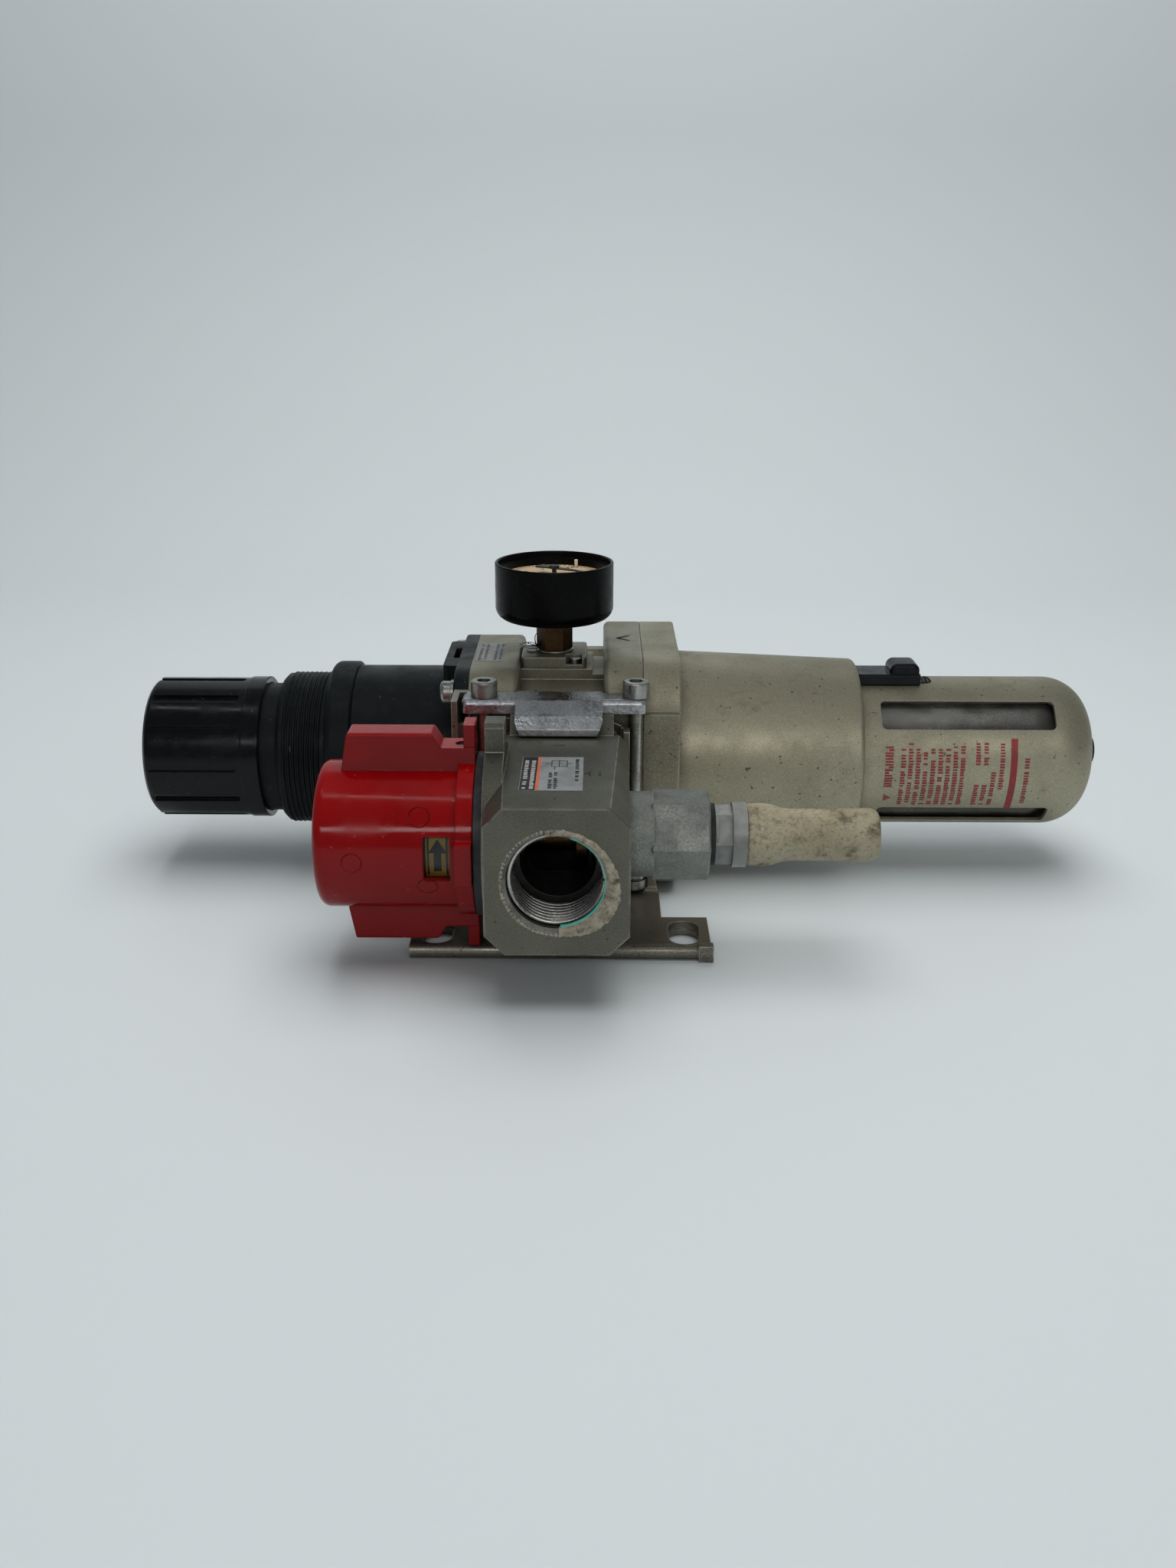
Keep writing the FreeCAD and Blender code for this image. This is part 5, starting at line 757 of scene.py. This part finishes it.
def make_port_sealant():
    """Dried sealant round the inlet's mouth, thick on the right, with a film of turquoise inside it."""
    rim = ((-88, 18.9), (-60, 20.8), (-40, 22.0), (-20, 21.8), (0, 20.8), (30, 19.4), (60, 18.9), (102, 18.5))

    def outer(angle):
        for (a0, r0), (a1, r1) in zip(rim, rim[1:]):
            if a0 <= angle <= a1:
                return r0 + (r1 - r0) * (angle - a0) / (a1 - a0)
        return 18.4

    def lumps(angle, share, scale):
        turn = math.radians(angle)
        return noise.noise(Vector((math.cos(turn) * scale, math.sin(turn) * scale, share * 2.0)))

    def spot(angle, share, height):
        edge = outer(angle) + 0.55 * lumps(angle, 3.0, 12.0) + 0.25 * lumps(angle, 5.0, 40.0)
        inner = 16.2 + 0.25 * lumps(angle, 7.0, 9.0)
        return port_front(angle, inner + (edge - inner) * share, height)

    def low(angle, share):
        radius = 16.2 + (outer(angle) - 16.2) * share
        return min(-0.04, radius - PORT_EDGE_R)

    def high(angle, share):
        swell = 1.0 - share ** 3
        rough = 0.40 * lumps(angle, share * 3, 14.0) + 0.28 * lumps(angle, share * 8, 36.0)
        return min(0.34, (-1.0 + share * 4.5)) * swell + rough * swell - 0.02 * share

    crust = Solids()
    crust.slab(spot, spread(-88, 102, 220), spread(0.0, 1.0, 12), low, high)
    chance = random.Random(8)
    for angle in spread(104, 268, 34):
        wide = chance.uniform(1.6, 4.6)
        deep = chance.uniform(0.25, 0.7)
        radii = [18.4 - deep, 18.5, 18.5 + deep * 0.8]
        crust.slab(port_front, spread(angle, angle + wide, 4), radii, -0.25, 0.05)
    crust.piece("port_sealant", "sealant", "frame", True)
    residue = Solids()

    def sink(angle, radius):
        return min(-0.02, radius - PORT_EDGE_R)

    def sink_skin(angle, radius):
        return sink(angle, radius) + 0.16 + 0.22 * lumps(angle, radius * 0.7, 22.0)

    residue.slab(port_front, spread(98, 274, 150), spread(16.75, 18.35, 7), sink, sink_skin)
    residue.piece("port_residue", "residue", "frame", True)
    film = Solids()

    def film_spot(angle, share, height):
        return port_front(angle, 15.75 + share * 0.95 + 0.12 * lumps(angle, share, 10.0), height)

    def film_skin(angle, share):
        return -1.15 + 0.2 * lumps(angle, share, 8.0)

    film.slab(film_spot, spread(-86, 74, 90), [0.0, 0.5, 1.0], -2.9, film_skin)
    film.piece("port_film", "turquoise", "frame", True)


def make_gauge_details():
    """Dial ticks and numbers, the stem's ring, and frayed seal tape beside it."""
    dial = flat_top(DIAL_TOP)
    centre = Vector((GAUGE_X, REG_Y))
    ticks = Solids()
    for step in range(41):
        turn = math.radians(225 - step * 270 / 40)
        long_one = step % 8 == 0
        out = Vector((math.cos(turn), math.sin(turn)))
        side = Vector((-out.y, out.x)) * (0.28 if long_one else 0.14)
        near, far = centre + out * (14.2 if long_one else 15.8), centre + out * 17.4

        def where(u, v, height, near=near, far=far, side=side):
            point = near + (far - near) * u + side * v
            return dial(point.x, point.y, height)

        ticks.slab(where, [0.0, 1.0], [-1.0, 1.0], -0.04, 0.06)
    ticks.piece("dial_ticks", "print_black", "frame")
    for index in range(6):
        turn = math.radians(225 - index * 54)
        letters = bpy.data.curves.new("dial_number", "FONT")
        letters.body = str(index * 2)
        letters.size = 3.6 * MM
        letters.extrude = 0.05 * MM
        letters.align_x = "CENTER"
        letters.align_y = "CENTER"
        holder = bpy.data.objects.new("dial_number_text", letters)
        scene.collection.objects.link(holder)
        bpy.context.view_layer.update()
        mesh = bpy.data.meshes.new_from_object(holder)
        bpy.data.objects.remove(holder)
        mesh.materials.clear()
        mesh.materials.append(looks["print_black"])
        number = bpy.data.objects.new(f"dial_number_{index}", mesh)
        scene.collection.objects.link(number)
        x, y = centre.x + 11.4 * math.cos(turn), centre.y + 11.4 * math.sin(turn)
        number.location = Vector((x, y, AXIS_Z + 73.42)) * MM
        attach(number, "frame")
    ring = Solids()
    sections = []
    for step in range(48):
        turn = math.radians(step * 7.5)
        sections.append([
            (GAUGE_X + r * math.cos(turn), REG_Y + r * math.sin(turn), AXIS_Z + z)
            for r, z in ((6.0, 41.95), (7.7, 41.95), (7.7, 42.5), (7.2, 42.95), (6.0, 42.95))])
    ring.sweep(sections, ring=True)
    ring.piece("stem_ring", "zinc_steel", "frame", True)
    chance = random.Random(21)
    tape = Solids()
    for strand in range(7):
        heading = math.radians(chance.uniform(165, 235))
        bend = chance.uniform(-0.5, 0.5)
        x, y, z = GAUGE_X + 6.3 * math.cos(heading), REG_Y + 6.3 * math.sin(heading), AXIS_Z + 42.6
        rise = chance.uniform(0.1, 0.75)
        sections = []
        for step in range(14):
            thick = 0.32 * (1 - step / 20)
            flat = (math.cos(heading + 1.57) * thick, math.sin(heading + 1.57) * thick)
            sections.append([
                (x + flat[0] * a, y + flat[1] * a, z + b * thick * 0.5)
                for a, b in ((-1, -1), (1, -1), (1, 1), (-1, 1))])
            x += math.cos(heading) * 0.62
            y += math.sin(heading) * 0.62
            z = max(AXIS_Z + 42.2, z + rise * 0.62)
            heading += bend * 0.35
            rise += chance.uniform(-0.35, 0.3)
        tape.sweep(sections)
    tape.piece("stem_seal_tape", "rubber", "frame")


def make_drain_tape():
    """Frayed black seal tape round the drain fitting."""
    chance = random.Random(4)
    tape = Solids()
    for strand in range(26):
        heading = math.radians(chance.uniform(0, 360))
        reach, x = 5.4, 214.2 + chance.uniform(0.0, 1.6)
        sections = []
        for step in range(6):
            thick = 0.42 * (1 - step / 8)
            y, z = REG_Y - reach * math.cos(heading), AXIS_Z + reach * math.sin(heading)
            sections.append([(x + a * thick, y + b * thick, z + c * thick) for a, b, c in
                             ((-1, -1, 1), (1, -1, -1), (1, 1, 1), (-1, 1, -1))])
            reach += chance.uniform(0.1, 0.5)
            x += chance.uniform(-0.2, 0.55)
            heading += chance.uniform(-0.06, 0.06)
        tape.sweep(sections)
    tape.piece("drain_seal_tape", "rubber", "bowl_unit")


def make_silencer_body():
    """The silencer's porous body: a wide end by the collar, a narrow waist and a chipped round end."""
    left, right = 65.5, 112.0
    profile = [
        (0.0, 0.4), (0.0, 10.3), (0.02, 10.9), (0.12, 11.1), (0.20, 10.7), (0.27, 9.6), (0.34, 9.15),
        (0.6, 9.2), (0.86, 9.45), (0.94, 9.5), (0.975, 9.1), (1.0, 8.1), (1.0, 0.4)]
    rows = []
    for (s0, r0), (s1, r1) in zip(profile, profile[1:]):
        count = max(1, round(math.hypot((s1 - s0) * (right - left), r1 - r0) / 0.55))
        rows.extend((s0 + (s1 - s0) * k / count, r0 + (r1 - r0) * k / count) for k in range(count))
    rows.append(profile[-1])
    sections = []
    around = 108
    for step in range(around):
        turn = 2 * math.pi * step / around
        section = []
        for share, radius in rows:
            x = left + (right - left) * share
            at = Vector((x, radius * math.cos(turn), radius * math.sin(turn)))
            dent = 0.16 * noise.noise(at * 1.4) + 0.10 * noise.noise(at * 0.45)
            at_rim = 1 if share > 0.93 or share < 0.15 else 0.1
            chip = max(0.0, noise.noise(at * 0.5 + Vector((9, 4, 2))) - 0.25) * 1.6 * at_rim
            reach = max(0.2, radius + dent - chip) if radius > 1 else radius
            x = min(right, max(left, x + (dent * 0.6 if 0.02 < share < 0.99 else 0.0)))
            section.append((x, VALVE_Y + reach * math.cos(turn), AXIS_Z + reach * math.sin(turn)))
        sections.append(section)
    body = Solids()
    body.sweep(sections, ring=True)
    made = body.piece("silencer_body", "porous", "frame", True)
    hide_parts("silencer_core")


make_camera()
make_stage()
make_lights()
looks = make_materials()
dress_nodes()
make_guard_print()
make_valve_label()
make_body_marks()
make_window_label()
make_handle_rings()
make_threads()
make_port_sealant()
make_gauge_details()
make_drain_tape()
make_silencer_body()
